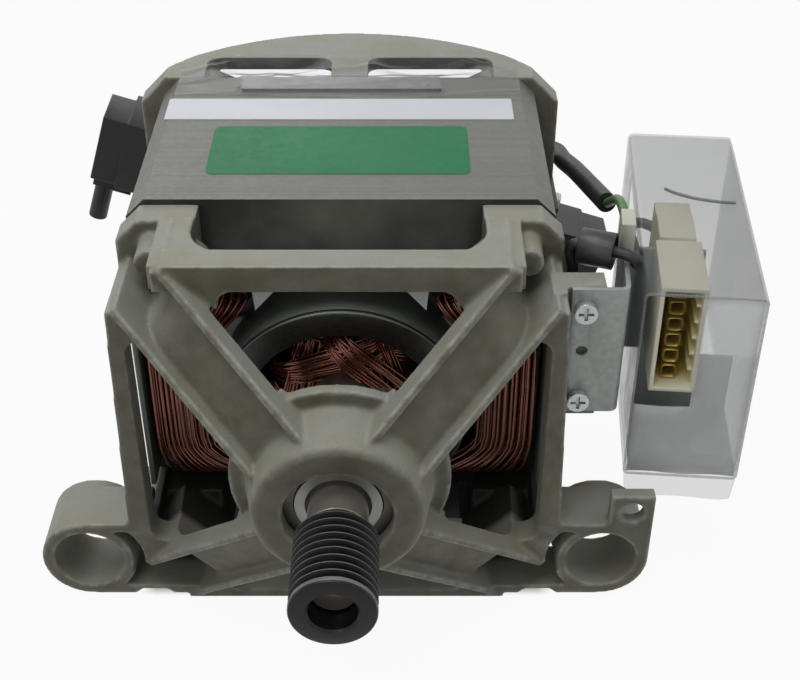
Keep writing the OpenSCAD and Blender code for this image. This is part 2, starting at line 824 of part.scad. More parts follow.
module rear_bearing_balls() {
    color("#d5d7da") bearing_ball_set(rear_bore, rear_od, rear_bearing_y, rear_bearing_w, rear_balls);
}

module rear_bearing_cage() {
    color("#9a8a58") bearing_cage(rear_bore, rear_od, rear_bearing_y, rear_bearing_w, rear_balls);
}

// Rotor

module rotor_shaft() {
    color("#b4b3b0") turned() polygon([
        [0, pulley_front_y + nose_recess], [shaft_nose_d / 2 - 0.6, pulley_front_y + nose_recess],
        [shaft_nose_d / 2, pulley_front_y + nose_recess + 0.6], [shaft_nose_d / 2, pulley_rear_y],
        [front_bore / 2 - 0.5, pulley_rear_y], [front_bore / 2, pulley_rear_y + 0.5],
        [front_bore / 2, front_bearing_end], [shaft_r, front_bearing_end],
        [shaft_r, commutator_end + 1], [rear_bore / 2 + 1, commutator_end + 1],
        [rear_bore / 2 + 1, rear_bearing_y], [rear_bore / 2, rear_bearing_y],
        [rear_bore / 2, rear_bearing_end], [shaft_tail_d / 2, rear_bearing_end],
        [shaft_tail_d / 2, shaft_end], [0, shaft_end]
    ]);
}

module drive_pulley() {
    tip = 0.22;
    flank = tip + groove_depth * tan(20);
    r = pulley_d / 2;
    color("#2b2c2e") turned() polygon(concat(
        [[shaft_nose_d / 2, pulley_front_y], [r - 0.5, pulley_front_y], [r, pulley_front_y + 0.5]],
        [for (k = [0 : groove_count - 1], p = [[0, -flank], [1, -tip], [1, tip], [0, flank]])
            [r - p.x * groove_depth, -groove_span / 2 + (k + 0.5) * groove_pitch + p.y]],
        [[r, groove_span / 2], [front_bore / 2 + 0.4, pulley_rear_y - 0.8],
         [front_bore / 2 + 0.4, pulley_rear_y], [shaft_nose_d / 2, pulley_rear_y]]
    ));
}

slot_r = 3.4;
slot_depth = 8;
slot_mouth = 2.4;

module slotted_disc(r) {
    difference() {
        circle(r = r, $fn = 128);
        circle(r = shaft_r);
        for (i = [0 : rotor_slots - 1]) rotate(360 * i / rotor_slots) {
            translate([rotor_r - slot_depth, 0]) circle(r = slot_r);
            translate([rotor_r - slot_depth, -slot_mouth / 2]) square([slot_depth + over, slot_mouth]);
        }
    }
}

module rotor_core() {
    color("#6f6d69") along_y(stack_y, stack_len) slotted_disc(rotor_r);
}

// Insulating discs on both ends of the core
disc_t = 2;

module armature_end_discs() {
    color("#c9b98a") for (y = [stack_y - disc_t, stack_end])
        along_y(y, disc_t) slotted_disc(rotor_r - 1);
}

// Armature winding: the front end is one wire wound round a ring-shaped core
wind_ring_r = 17.4;
wind_core_r = 6;
wind_wire_d = 1;
wind_r = wind_core_r + wind_wire_d / 2 + 0.25;
wind_y = stack_y - disc_t - wind_r - wind_wire_d / 2 - 0.05;
wind_advance = 5;

function wind_angle(i) = 360 * wind_advance * i / (armature_loops * coil_rings);
function wind_out(i) = [cos(wind_angle(i)), 0, sin(wind_angle(i))];
function wind_side(i) =
    cos(360 * i / coil_rings) * wind_out(i) - sin(360 * i / coil_rings) * [0, 1, 0];
wind_count = armature_loops * coil_rings;
wind_path = [
    for (i = [0 : wind_count - 2]) wind_ring_r * wind_out(i) + wind_r * wind_side(i) + [0, wind_y, 0]
];

module armature_winding() {
    rear_y = stack_end + disc_t;
    color("#8a4630") {
        echo(str("armature winding least gap ", least_gap(wind_path, coil_rings, wind_wire_d)));
        swept(wind_path, [for (i = [0 : wind_count - 2]) wind_side(i)], wind_wire_d, 6);
        turned() polygon([for (k = [0 : 15])
            [wind_ring_r + wind_core_r * cos(22.5 * k), wind_y + wind_core_r * sin(22.5 * k)]]);
        turned() polygon(rounded(
            rectangle(shaft_r + 2, rear_y, rotor_r - 4, rear_y + winding_rear_len - disc_t), 3));
        for (i = [0 : rotor_slots - 1])
            rotate([0, 360 * i / rotor_slots, 0]) translate([rotor_r - slot_depth, 0, 0])
                rod(2 * slot_r - 2 * fit_gap, stack_y - disc_t, rear_y + 3);
    }
}

commutator_hub_r = shaft_r + 2.5;

module commutator_hub() {
    color("#5b3a25") ring(2 * commutator_hub_r, shaft_body_d, commutator_y - 1, commutator_end);
}

module commutator_bars() {
    cut = 0.5;
    color("#b06a3c") difference() {
        ring(commutator_d, 2 * commutator_hub_r, commutator_y, commutator_end);
        for (i = [0 : commutator_bars_n / 2 - 1])
            rotate([0, 360 * i / commutator_bars_n, 0])
                translate([-commutator_r - over, commutator_y - over, -cut / 2])
                    cube([commutator_d + 2 * over, commutator_len + 2 * over, cut]);
    }
}

// Speed sensor on the shaft's rear end
sensor_gap = 0.5;
magnet_r = 8;
cover_r = 17;

module tacho_magnet() {
    color("#333436") ring(2 * magnet_r, shaft_tail_d, shaft_end - magnet_len, shaft_end);
}

module tacho_coil() {
    color("#4a2f22") ring(2 * cover_r - 4, 2 * (magnet_r + sensor_gap), rear_hub_end, shaft_end - 0.5);
}

module tacho_cover() {
    color("#26282a") turned() polygon(concat(
        [[cover_r - 2, rear_hub_end], [cover_r, rear_hub_end]],
        corner_arc([cover_r, shaft_end + 3.5], [cover_r, 0], [0, shaft_end + 3.5], 3),
        [[0, shaft_end + 3.5], [0, shaft_end + 1.5], [cover_r - 2, shaft_end + 1.5]]
    ));
}

// Brush gear

module brush_holder(side) {
    brush_frame(side) difference() {
        union() {
            translate([holder_in, -holder_w / 2, -holder_t / 2])
                cube([saddle_out - holder_in, holder_w, holder_t]);
            translate([saddle_out, -saddle_w / 2 + 2, -saddle_h / 2])
                cube([flange_t, saddle_w - 4, saddle_h]);
            translate([saddle_out + flange_t, -holder_w / 2 - 1, -cap_up])
                cube([cap_out - saddle_out - flange_t - 8, holder_w + 2, cap_up + cap_down]);
            translate([cap_out - 8, -holder_w / 2 + 1, -cap_up + 1])
                cube([8, holder_w - 2, cap_up + cap_down - 1]);
        }
        translate([holder_in - over, -tube_w / 2, -tube_t / 2])
            cube([tube_out - holder_in + over, tube_w, tube_t]);
        for (z = [-holder_screw_z, holder_screw_z])
            translate([saddle_out - over, 0, z]) rotate([0, 90, 0])
                cylinder(d = screw_d + 2 * eps, h = flange_t + 2 * over);
    }
}

module left_brush_holder() {
    color("#1d1e1f") brush_holder(-1);
}

module right_brush_holder() {
    color("#1d1e1f") brush_holder(1);
}

module brush_tube(side) {
    brush_frame(side) difference() {
        translate([tube_in, -tube_w / 2, -tube_t / 2]) cube([tube_out - tube_in, tube_w, tube_t]);
        translate([tube_in - over, -tube_w / 2 + tube_wall, -tube_t / 2 + tube_wall])
            cube([tube_out - tube_in + 2 * over, tube_w - 2 * tube_wall, tube_t - 2 * tube_wall]);
    }
}

module left_brush_tube() {
    color("#b99a4b") brush_tube(-1);
}

module right_brush_tube() {
    color("#b99a4b") brush_tube(1);
}

// The inner end is hollowed to the commutator
module carbon_brush(side) {
    brush_frame(side) difference() {
        translate([commutator_r - 2, -brush_w / 2, -brush_t / 2])
            cube([brush_in + brush_len - commutator_r + 2, brush_w, brush_t]);
        translate([0, -brush_y, 0]) rod(2 * brush_in, brush_y - brush_w, brush_y + brush_w);
    }
}

module left_carbon_brush() {
    color("#3a3a3b") carbon_brush(-1);
}

module right_carbon_brush() {
    color("#3a3a3b") carbon_brush(1);
}

// Spring between a brush and the closed end of its holder
module brush_spring(side) {
    brush_frame(side) translate([brush_in + brush_len, 0, 0]) rotate([0, 90, 0]) difference() {
        cylinder(d = spring_d, h = tube_out - brush_in - brush_len);
        translate([0, 0, -over]) cylinder(d = spring_d - 1.4, h = tube_out);
    }
}

module left_brush_spring() {
    color("#c9cbcd") brush_spring(-1);
}

module right_brush_spring() {
    color("#c9cbcd") brush_spring(1);
}

module brush_holder_screws() {
    head_d = 5.6;
    head_h = 2;
    tip = 2;
    color("#c4c7ca") for (side = [-1, 1], z = [-holder_screw_z, holder_screw_z])
        brush_frame(side) translate([saddle_in - tip, 0, z]) rotate([0, 90, 0]) {
            cylinder(d = screw_d, h = saddle_t + flange_t + tip);
            translate([0, 0, saddle_t + flange_t + tip]) cylinder(d = head_d, h = head_h);
        }
}

// Flag terminal under the left holder's cap, and the lead boot that hangs from it
flag_r = cap_out - 4.5;
flag_len = 5;
boot_d = 6;
boot_len = 18;

module left_brush_terminal() {
    color("#d8d2b4") brush_frame(-1)
        translate([flag_r - 1, -3, cap_down]) cube([2, 6, flag_len]);
}

module left_lead_boot() {
    color("#18191a") brush_frame(-1) difference() {
        union() {
            translate([flag_r - 3.5, -5, cap_down]) cube([7, 10, 4]);
            translate([flag_r, 0, cap_down + 3]) cylinder(d = boot_d, h = boot_len - 3);
            translate([flag_r - 9, -4, cap_down]) cube([6, 8, 5]);
        }
        translate([flag_r - 1 - eps, -3 - eps, cap_down - over])
            cube([2 + 2 * eps, 6 + 2 * eps, flag_len + over + eps]);
    }
}

// Connector group, turned about the bend of its bracket

bend_x = ear_wall + 13.1;
flange_in = ear_wall;
group_x = bend_x + sheet_t;
shelf_z = -14.7;
shelf_in = 4.9;
shelf_w = 33.3;
shelf_front = 3;
panel_y = 29;
panel_top = 37;
side_low = 5;
side_top = 43;
lip_h = 2.6;
emboss_h = 0.8;
housing_x = 8;
housing_w = 12;
housing_wall = 1.2;
housing_low = 7.7;
housing_top = housing_low + contact_count * contact_pitch + 2 * housing_wall;
housing_front = 6;
housing_back = 51;
cavity_y = housing_front + 19;
contact_x = housing_x + housing_w / 2 - 0.8;
contact_low = housing_low + housing_wall + contact_pitch / 2;
contact_d = 4.4;
contact_len = 15;

module connector_frame() {
    translate([group_x, flange_y, 0]) rotate([0, 0, -bracket_turn]) children();
}

// Plan of the bent sheet: its flange on the ear, the bend and the side plate
module bracket_plan() {
    across = [cos(bracket_turn), sin(bracket_turn)];
    rearward = [-sin(bracket_turn), cos(bracket_turn)];
    tip = (flange_in - group_x) * across;
    run = sheet_t * (sin(bracket_turn) - 1) / cos(bracket_turn);
    inner = sheet_t * rearward + run * across;
    far = panel_y + sheet_t;
    polygon(concat(
        [tip], corner_arc([0, 0], tip, [0, far], 2 * sheet_t), [[0, far], [-sheet_t, far]],
        corner_arc(inner, [-sheet_t, far], tip + sheet_t * rearward, sheet_t), [tip + sheet_t * rearward]
    ));
}

module connector_bracket() {
    color("#a9b0b3") {
        difference() {
            connector_frame() translate([0, 0, side_low])
                linear_extrude(side_top - side_low) bracket_plan();
            for (z = flange_screw_z)
                translate([flange_screw_x, 0, z]) rod(screw_d + 2 * fit_gap, flange_y - over, ear_y + over);
            translate([flange_screw_x, 0, flange_hole_z]) rod(screw_d, flange_y - over, ear_y + over);
        }
        connector_frame() {
            difference() {
                union() {
                    block([-sheet_t, panel_y, side_low], [shelf_in, panel_y + sheet_t, panel_top]);
                    block([shelf_in, panel_y, shelf_z - sheet_t], [shelf_w, panel_y + sheet_t, panel_top]);
                }
                block([housing_x + housing_wall - eps, panel_y - over, housing_low + housing_wall - eps],
                      [housing_x + housing_w - housing_wall + eps, panel_y + 2 * over, panel_top + over]);
            }
            block([shelf_in, shelf_front, shelf_z - sheet_t], [shelf_w, panel_y + sheet_t, shelf_z]);
            block([shelf_in, shelf_front, shelf_z - lip_h], [shelf_w, shelf_front + sheet_t, shelf_z]);
            for (x = [10, 22])
                translate([0, 0, shelf_z - eps]) linear_extrude(emboss_h + eps)
                    polygon(rounded(rectangle(x, shelf_front + 4, x + 7, panel_y - 3), 2));
            block([-sheet_t, 17, side_top - eps], [0, 23, side_top + 6]);
        }
    }
}

module bracket_screws() {
    head_d = 5.8;
    head_h = 2.2;
    cross_half = 1.9;
    cross_w = 0.8;
    cross_depth = 1.2;
    color("#c7cacc") for (z = flange_screw_z) translate([flange_screw_x, 0, z]) {
        rod(screw_d, flange_y, ear_end);
        difference() {
            rod(head_d, flange_y - head_h, flange_y);
            for (a = [0, 90]) rotate([0, a, 0])
                block([-cross_half, flange_y - head_h - over, -cross_w / 2],
                      [cross_half, flange_y - head_h + cross_depth, cross_w / 2]);
        }
    }
}

// Cream housing: a deep cavity with keyed ribs in front, a latch block and a smaller rear body
module connector_housing() {
    x1 = housing_x + housing_w;
    w = housing_wall;
    color("#d9d6ba") connector_frame() {
        difference() {
            block([housing_x, housing_front, housing_low], [x1, panel_y, housing_top]);
            block([housing_x + w, housing_front - over, housing_low + w],
                  [x1 - w, cavity_y, housing_top - w]);
        }
        block([housing_x + w, panel_y - eps, housing_low + w], [x1 - w, housing_back, housing_top - w]);
        block([housing_x + w, panel_y + sheet_t + fit_gap, housing_top - 2 * w],
              [x1 - w, housing_back - 8, housing_top]);
        for (i = [0 : contact_count - 2])
            block([x1 - w - 1.2, housing_front + 2, contact_low + (i + 0.5) * contact_pitch - 0.5],
                  [x1 - w, cavity_y, contact_low + (i + 0.5) * contact_pitch + 0.5]);
    }
}

module connector_contacts() {
    color("#a58a45") connector_frame() for (i = [0 : contact_count - 1])
        translate([contact_x, 0, contact_low + i * contact_pitch]) difference() {
            rod(contact_d, cavity_y - contact_len, cavity_y);
            rod(contact_d - 1.4, cavity_y - contact_len - over, cavity_y - 2);
        }
}

// Film box over the connector, open in front, with a flap below its mouth and a slot
// in its left wall for the bracket and the leads
cover_in = 3.6;
cover_front = 2;
cover_back = 88;
cover_top = housing_top + 0.2 + film_t;
flap_h = 8;
slot_back = 68;

module connector_cover() {
    low = shelf_z - lip_h;
    right = shelf_w + 0.2;
    color([0.8, 0.82, 0.83, 0.5]) connector_frame() {
        difference() {
            block([cover_in, cover_front, low - film_t], [right + film_t, cover_back, cover_top]);
            block([cover_in + film_t, cover_front - over, low],
                  [right, cover_back - film_t, cover_top - film_t]);
            block([cover_in - over, panel_y - 0.5, 4.5], [cover_in + film_t + over, slot_back, panel_top + 0.5]);
        }
        block([cover_in, cover_front, low - film_t - flap_h], [right + film_t, cover_front + film_t, low]);
    }
}

// Leads: routes through hand-set points

arm_side = [39.35, 171, 28.65];
sleeve_end = [73.5, 112, 34];
sleeve_route = [
    arm_side, arm_side + [4, 0, -4], [55, 170, 21.5], [64.2, 165, 22.5], [66, 155, 24.5],
    [68.5, 145, 26.5], [71, 128, 30.5], sleeve_end
];
earth_route = [
    [73.6, 111.4, 34.15], [73.4, 104, 39], [73, 94, 45.5], [72.9, 86, 48.6], [72.9, 78.4, 49]
];
field_turn = 20;
field_grip = [60.4, 69.5, 46.2];
field_dir = [cos(field_turn), -sin(field_turn), 0];
field_d = 3;
field_route = [
    [50.9, 73, 31.2], [54.5, 73, 31.2], [58.8, 72, 33], [59.2, 70, 39], field_grip - 1.5 * field_dir,
    field_grip + 9 * field_dir, [73.9, 65.2, 45], [75.1, 69.5, 41], [75.7, 79, 40.4], [76, 87, 39],
    [77.4, 95, 33.5], [78.6, 105, 28.5], [80.3, 111.6, 26.5], [84.6, 114.9, 25.6], [88.9, 111.6, 25.1],
    [90.2, 104.3, 25]
];

function smooth(pts, per) = [
    for (i = [0 : len(pts) - 2], k = [0 : per - 1])
        let (a = pts[max(i - 1, 0)], b = pts[i], c = pts[i + 1], d = pts[min(i + 2, len(pts) - 1)])
        let (t = k / per)
        0.5 * (2 * b + (c - a) * t + (2 * a - 5 * b + 4 * c - d) * t * t
            + (3 * b - a - 3 * c + d) * t * t * t),
    pts[len(pts) - 1]
];

module lead(route, d) {
    pts = smooth(route, 2);
    swept(pts, [for (i = [0 : len(pts) - 1]) lead_side(along(pts, i))], d, 8);
}

// A side vector well off the lead's own direction
function lead_side(t) = abs(t.z) < 0.8 ? [0, 0, 1] : [0, 1, 0];

// Insulated push-on terminal on the bracket's tab
module earth_terminal() {
    color("#d8d4b8") connector_frame() difference() {
        block([-2.4, 16, side_top], [1.2, 24, side_top + 9]);
        block([-sheet_t - eps, 17 - eps, side_top - over], [eps, 23 + eps, side_top + 6 + eps]);
    }
}

module earth_lead() {
    color("#3f7f3a") lead(earth_route, 2.6);
}

module lead_sleeve() {
    color("#1b1c1d") lead(sleeve_route, 5.8);
}

module field_lead() {
    color("#1b1c1d") lead(field_route, field_d);
}

// Wide sleeve on the field lead: gripped at its left end, open to the right
module field_lead_sleeve() {
    color("#151617") translate(field_grip) rotate([0, 90, -field_turn]) difference() {
        cylinder(d = 9.4, h = 9);
        translate([0, 0, 2]) cylinder(d = 8, h = 9);
        translate([0, 0, -over]) cylinder(d = field_d + 0.8, h = 9);
    }
}

front_end_shield();
rear_end_shield();
stator_core();
field_coil_left();
field_coil_right();
coil_former_front();
coil_former_rear();
insulation_sheets();
through_bolts();
front_bearing_outer_ring();
front_bearing_inner_ring();
front_bearing_shields();
front_bearing_balls();
front_bearing_cage();
rear_bearing_outer_ring();
rear_bearing_inner_ring();
rear_bearing_shields();
rear_bearing_balls();
rear_bearing_cage();
rotor_shaft();
rotor_core();
armature_end_discs();
armature_winding();
commutator_hub();
commutator_bars();
drive_pulley();
tacho_magnet();
tacho_coil();
tacho_cover();
left_brush_holder();
right_brush_holder();
left_brush_tube();
right_brush_tube();
left_carbon_brush();
right_carbon_brush();
left_brush_spring();
right_brush_spring();
brush_holder_screws();
left_brush_terminal();
left_lead_boot();
connector_bracket();
bracket_screws();
connector_housing();
connector_contacts();
connector_cover();
earth_terminal();
earth_lead();
lead_sleeve();
field_lead();
field_lead_sleeve();
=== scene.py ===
"""Looks of a brushed washing machine motor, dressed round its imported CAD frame."""

import logging
import math
import random
from contextlib import contextmanager
from dataclasses import dataclass
from enum import Enum
from functools import reduce
from typing import Callable, Iterable, Iterator, Sequence

import bmesh
import bpy
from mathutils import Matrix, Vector


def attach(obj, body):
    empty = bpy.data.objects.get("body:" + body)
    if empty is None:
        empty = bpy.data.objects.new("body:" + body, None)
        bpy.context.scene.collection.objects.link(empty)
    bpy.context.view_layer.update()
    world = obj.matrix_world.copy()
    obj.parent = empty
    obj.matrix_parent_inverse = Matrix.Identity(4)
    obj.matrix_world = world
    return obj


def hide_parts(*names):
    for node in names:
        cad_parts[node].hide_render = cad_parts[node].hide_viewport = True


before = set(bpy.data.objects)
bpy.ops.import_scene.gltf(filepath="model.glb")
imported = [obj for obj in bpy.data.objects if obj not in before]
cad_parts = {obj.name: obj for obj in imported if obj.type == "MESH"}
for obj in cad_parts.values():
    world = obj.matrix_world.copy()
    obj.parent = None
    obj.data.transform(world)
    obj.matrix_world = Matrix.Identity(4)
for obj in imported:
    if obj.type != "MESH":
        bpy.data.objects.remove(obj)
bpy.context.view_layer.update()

LOG = logging.getLogger("motor")
MM = 0.001
MERGE = 1e-6
CAD_MERGE = 2e-6
Point = tuple[float, float, float]
Spot = tuple[float, float]
Face = tuple[int, ...]
Shape = tuple[list[Point], list[Face]]
Colour = tuple[float, float, float, float]
GROUP_PLACE: Point = (71.7, 54.0, 0.0)
GROUP_TURN = 5.0


class Body(str, Enum):
    """Bodies that the pieces made here ride on."""

    STATOR = "stator_frame"
    ROTOR = "rotor"


class Pattern(Enum):
    """Surface patterns that a finish can have."""

    GRAIN = "grain"
    CAST = "cast"
    SHEETS = "sheets"
    WIRE = "wire"
    TURNED = "turned"
    PLATED = "plated"
    FILM = "film"
    CAVITY = "cavity"
    PAPER = "paper"


def srgb(red: int, green: int, blue: int) -> Colour:
    """Turns a screen colour into a linear one.

    Args:
        red: Red, 0 to 255.
        green: Green, 0 to 255.
        blue: Blue, 0 to 255.

    Returns:
        Linear colour with full alpha.
    """
    def line(value: int) -> float:
        """One channel, made linear."""
        v = value / 255
        return v / 12.92 if v <= 0.04045 else ((v + 0.055) / 1.055) ** 2.4
    return (line(red), line(green), line(blue), 1.0)


def shade(colour: Colour, factor: float) -> Colour:
    """A lighter or darker version of a colour."""
    return tuple(min(1.0, c * factor) for c in colour[:3]) + (1.0,)


def around(count: int, row: int, following: int) -> list[Face]:
    """Faces between two rings of points.

    Args:
        count: Points of a ring.
        row: Number of the first ring.
        following: Number of the ring that it joins.

    Returns:
        Faces in order round the ring.
    """
    first, second = row * count, following * count
    return [(first + k, first + (k + 1) % count, second + (k + 1) % count, second + k) for k in range(count)]


def walls(count: int) -> list[Face]:
    """Faces of a closed prism on an outline of so many points: two ends, then the sides."""
    return [tuple(range(count)), tuple(range(count, 2 * count))] + around(count, 0, 1)


def grid(wide: int, deep: int, first: int = 0) -> list[Face]:
    """Faces of a grid of points.

    Args:
        wide: Faces along a row.
        deep: Rows of faces.
        first: Number of the grid's first point.

    Returns:
        Faces, row by row.
    """
    row = wide + 1
    starts = [first + j * row + i for j in range(deep) for i in range(wide)]
    return [(a, a + 1, a + row + 1, a + row) for a in starts]


def rounded(low: Spot, high: Spot, corner: float, steps: int) -> list[Spot]:
    """Outline of a rectangle with rounded corners.

    Args:
        low: Lowest corner.
        high: Highest corner.
        corner: Radius of the corners.
        steps: Steps round a corner.

    Returns:
        Points in order, from the highest corner on.
    """
    left, right, bottom, top = low[0] + corner, high[0] - corner, low[1] + corner, high[1] - corner
    outline = []
    for x, y, start in ((right, top, 0), (left, top, 90), (left, bottom, 180), (right, bottom, 270)):
        turns = [math.radians(start + 90 * k / steps) for k in range(steps + 1)]
        outline += [(x + corner * math.cos(a), y + corner * math.sin(a)) for a in turns]
    return outline


@contextmanager
def opened(mesh: bpy.types.Mesh) -> Iterator[bmesh.types.BMesh]:
    """Opens a mesh for editing, and writes it back at the end of the with statement."""
    work = bmesh.new()
    work.from_mesh(mesh)
    yield work
    work.to_mesh(mesh)
    work.free()


class Tree:
    """Small helper that adds nodes and links to a node tree."""

    def __init__(self, tree: bpy.types.NodeTree) -> None:
        """Keeps the tree to add to."""
        self.tree = tree

    def add(self, kind: str, values: dict | None = None, **attributes: object) -> bpy.types.Node:
        """Adds one node.

        Args:
            kind: Type name of the node.
            values: Input values or sockets to link, by input name or index.
            attributes: Attributes set on the node first.

        Returns:
            The new node.
        """
        node = self.tree.nodes.new(kind)
        for key, value in attributes.items():
            setattr(node, key, value)
        for key, value in (values or {}).items():
            socket = node.inputs[key]
            if isinstance(value, bpy.types.NodeSocket):
                self.tree.links.new(value, socket)
            else:
                socket.default_value = value
        return node

    def math(self, operation: str, *values: object, clamp: bool = False) -> bpy.types.NodeSocket:
        """Result socket of a Math node."""
        node = self.add("ShaderNodeMath", dict(enumerate(values)), operation=operation, use_clamp=clamp)
        return node.outputs[0]

    def blend(self, mode: str, factor: object, first: object, second: object) -> bpy.types.NodeSocket:
        """Result socket of a colour Mix node."""
        node = self.add("ShaderNodeMix", data_type="RGBA", blend_type=mode)
        for index, value in ((0, factor), (6, first), (7, second)):
            if isinstance(value, bpy.types.NodeSocket):
                self.tree.links.new(value, node.inputs[index])
            else:
                node.inputs[index].default_value = value
        return node.outputs[2]

    def spread(self, value: object, low: float, high: float, to_low: float,
               to_high: float) -> bpy.types.NodeSocket:
        """Result socket of a clamped Map Range node."""
        node = self.add("ShaderNodeMapRange", {0: value, 1: low, 2: high, 3: to_low, 4: to_high})
        return node.outputs[0]

    def product(self, *masks: object) -> bpy.types.NodeSocket:
        """Product of several masks and numbers."""
        return reduce(lambda first, second: self.math("MULTIPLY", first, second), masks)

    def axes(self) -> bpy.types.NodeOutputs:
        """X, Y and Z of the Object coordinates."""
        where = self.add("ShaderNodeTexCoord").outputs["Object"]
        return self.add("ShaderNodeSeparateXYZ", {0: where}).outputs


@dataclass(frozen=True)
class EffectSpec:
    """Name and number sockets of a shared shader effect."""

    name: str
    inputs: tuple[tuple[str, float], ...]
    outputs: tuple[str, ...]


@dataclass(frozen=True)
class InsideShadeZone:
    """Where painted shade darkens the inside of the front shield: edges in metres, and the slope that stays
    unshaded.
    """

    front: Spot = (0.0545, 0.0575)
    back: Spot = (0.0772, 0.0776)
    side: Spot = (0.0543, 0.0551)
    top: Spot = (0.026, 0.04)
    bottom: Spot = (-0.0537, -0.0523)
    post_front: Spot = (0.0545, 0.06)
    post_side: Spot = (0.0372, 0.0384)
    post_slope: Spot = (0.45, 0.8)
    post_amount: float = 0.8


class Effects:
    """Shader node groups that several finishes share, each built once."""

    def __init__(self) -> None:
        """Builds the groups."""
        self.grain = self._group(EffectSpec(
            "surface grain", (("Scale", 900.0),), ("Speckle", "Mottle", "Height")), self._grain)
        self.wear_and_light = self._group(EffectSpec(
            "edge wear", (("Scale", 300.0),), ("Edge", "Hollow")), self._wear)
        self.dust_and_light = self._group(EffectSpec(
            "dust and grime", (("Scale", 160.0),), ("Dust", "Grime", "Soot")), self._dust)
        self.sheets = self._group(EffectSpec(
            "stacked sheets", (("Pitch", 0.0007),), ("Line", "Tone")), self._sheets)
        self.turning = self._group(EffectSpec(
            "turned rings", (("Inner", 0.0), ("Outer", 0.01)), ("Crest", "Rings")), self._turning)

    @staticmethod
    def _group(spec: EffectSpec, fill: Callable[[Tree, object, object], None]) -> bpy.types.NodeTree:
        """Makes one group.

        Args:
            spec: Name and sockets.
            fill: Function that adds the nodes between the group's input and output.

        Returns:
            The node group.
        """
        number = "NodeSocketFloat"
        tree = bpy.data.node_groups.new(spec.name, "ShaderNodeTree")
        for name, default in spec.inputs:
            tree.interface.new_socket(name, in_out="INPUT", socket_type=number).default_value = default
        for name in spec.outputs:
            tree.interface.new_socket(name, in_out="OUTPUT", socket_type=number)
        fill(Tree(tree), tree.nodes.new("NodeGroupInput"), tree.nodes.new("NodeGroupOutput"))
        return tree

    @staticmethod
    def _noise(t: Tree, scale: object, detail: float) -> bpy.types.NodeSocket:
        """Noise on Object coordinates."""
        where = t.add("ShaderNodeTexCoord").outputs["Object"]
        return t.add("ShaderNodeTexNoise", {"Vector": where, "Scale": scale, "Detail": detail}).outputs["Fac"]

    def _grain(self, t: Tree, inside: object, outside: object) -> None:
        """Fine speckle, slow mottling and the height of the two together."""
        scale = inside.outputs["Scale"]
        fine = self._noise(t, scale, 4.0)
        slow = self._noise(t, t.math("DIVIDE", scale, 14.0), 5.0)
        t.tree.links.new(fine, outside.inputs["Speckle"])
        t.tree.links.new(slow, outside.inputs["Mottle"])
        t.tree.links.new(t.math("ADD", fine, t.math("MULTIPLY", slow, 0.6)), outside.inputs["Height"])

    def _wear(self, t: Tree, inside: object, outside: object) -> None:
        """Rubbed edges with painted highlights, and painted shade in hollows, broken up by noise."""
        point = t.add("ShaderNodeNewGeometry").outputs["Pointiness"]
        breakup = self._noise(t, inside.outputs["Scale"], 6.0)
        # Rubbed edges that also carry painted highlights.
        edge = t.product(t.spread(point, 0.506, 0.535, 0.0, 1.0), t.spread(breakup, 0.4, 0.6, 0.2, 1.0))
        t.tree.links.new(edge, outside.inputs["Edge"])
        # Painted shade in hollows, where pointiness is low.
        t.tree.links.new(t.spread(point, 0.485, 0.40, 0.0, 1.0), outside.inputs["Hollow"])

    def _dust(self, t: Tree, inside: object, outside: object) -> None:
        """Pale dust and painted top light on faces that look up, painted shade on forward faces and inside
        the shield.
        """
        normal = t.add("ShaderNodeNewGeometry").outputs["Normal"]
        parts = t.add("ShaderNodeSeparateXYZ", {0: normal}).outputs
        cloud = self._noise(t, inside.outputs["Scale"], 5.0)
        # Pale dust and painted top light on faces that look up.
        dust_and_light = t.product(t.spread(parts["Z"], 0.2, 0.95, 0.0, 1.0), t.spread(cloud, 0.3, 0.75, 0.3, 1.0))
        # Painted shade on faces that look forward, mottled by noise.
        front_shade = t.product(t.spread(parts["Y"], -0.15, -0.9, 0.0, 1.0), t.spread(cloud, 0.65, 0.3, 0.72, 1.0))
        t.tree.links.new(dust_and_light, outside.inputs["Dust"])
        t.tree.links.new(front_shade, outside.inputs["Grime"])
        # Painted shade: near black inside the front shield and on the inward faces of its top posts.
        where, zone = t.axes(), InsideShadeZone()
        across = t.math("ABSOLUTE", where["X"])
        inside_shade = t.product(t.spread(where["Y"], *zone.front, 0.0, 1.0),
                         t.spread(where["Y"], *zone.back, 1.0, 0.0),
                         t.spread(across, *zone.side, 1.0, 0.0), t.spread(where["Z"], *zone.top, 1.0, 0.0),
                         t.spread(where["Z"], *zone.bottom, 0.0, 1.0))
        post_shade = t.product(t.spread(where["Y"], *zone.post_front, 0.0, zone.post_amount),
                          t.spread(across, *zone.post_side, 1.0, 0.0),
                          t.spread(parts["Z"], *zone.post_slope, 1.0, 0.0))
        t.tree.links.new(t.math("MAXIMUM", inside_shade, post_shade), outside.inputs["Soot"])

    @staticmethod
    def _sheets(t: Tree, inside: object, outside: object) -> None:
        """Lines between stacked sheets along the shaft, and a tone for each sheet."""
        step = t.math("DIVIDE", t.axes()["Y"], inside.outputs["Pitch"])
        line = t.math("ABSOLUTE", t.math("SUBTRACT", t.math("FRACT", step), 0.5))
        t.tree.links.new(t.spread(line, 0.36, 0.5, 1.0, 0.0), outside.inputs["Line"])
        tone = t.add("ShaderNodeTexWhiteNoise", {"W": t.math("FLOOR", step)}, noise_dimensions="1D")
        t.tree.links.new(tone.outputs["Value"], outside.inputs["Tone"])

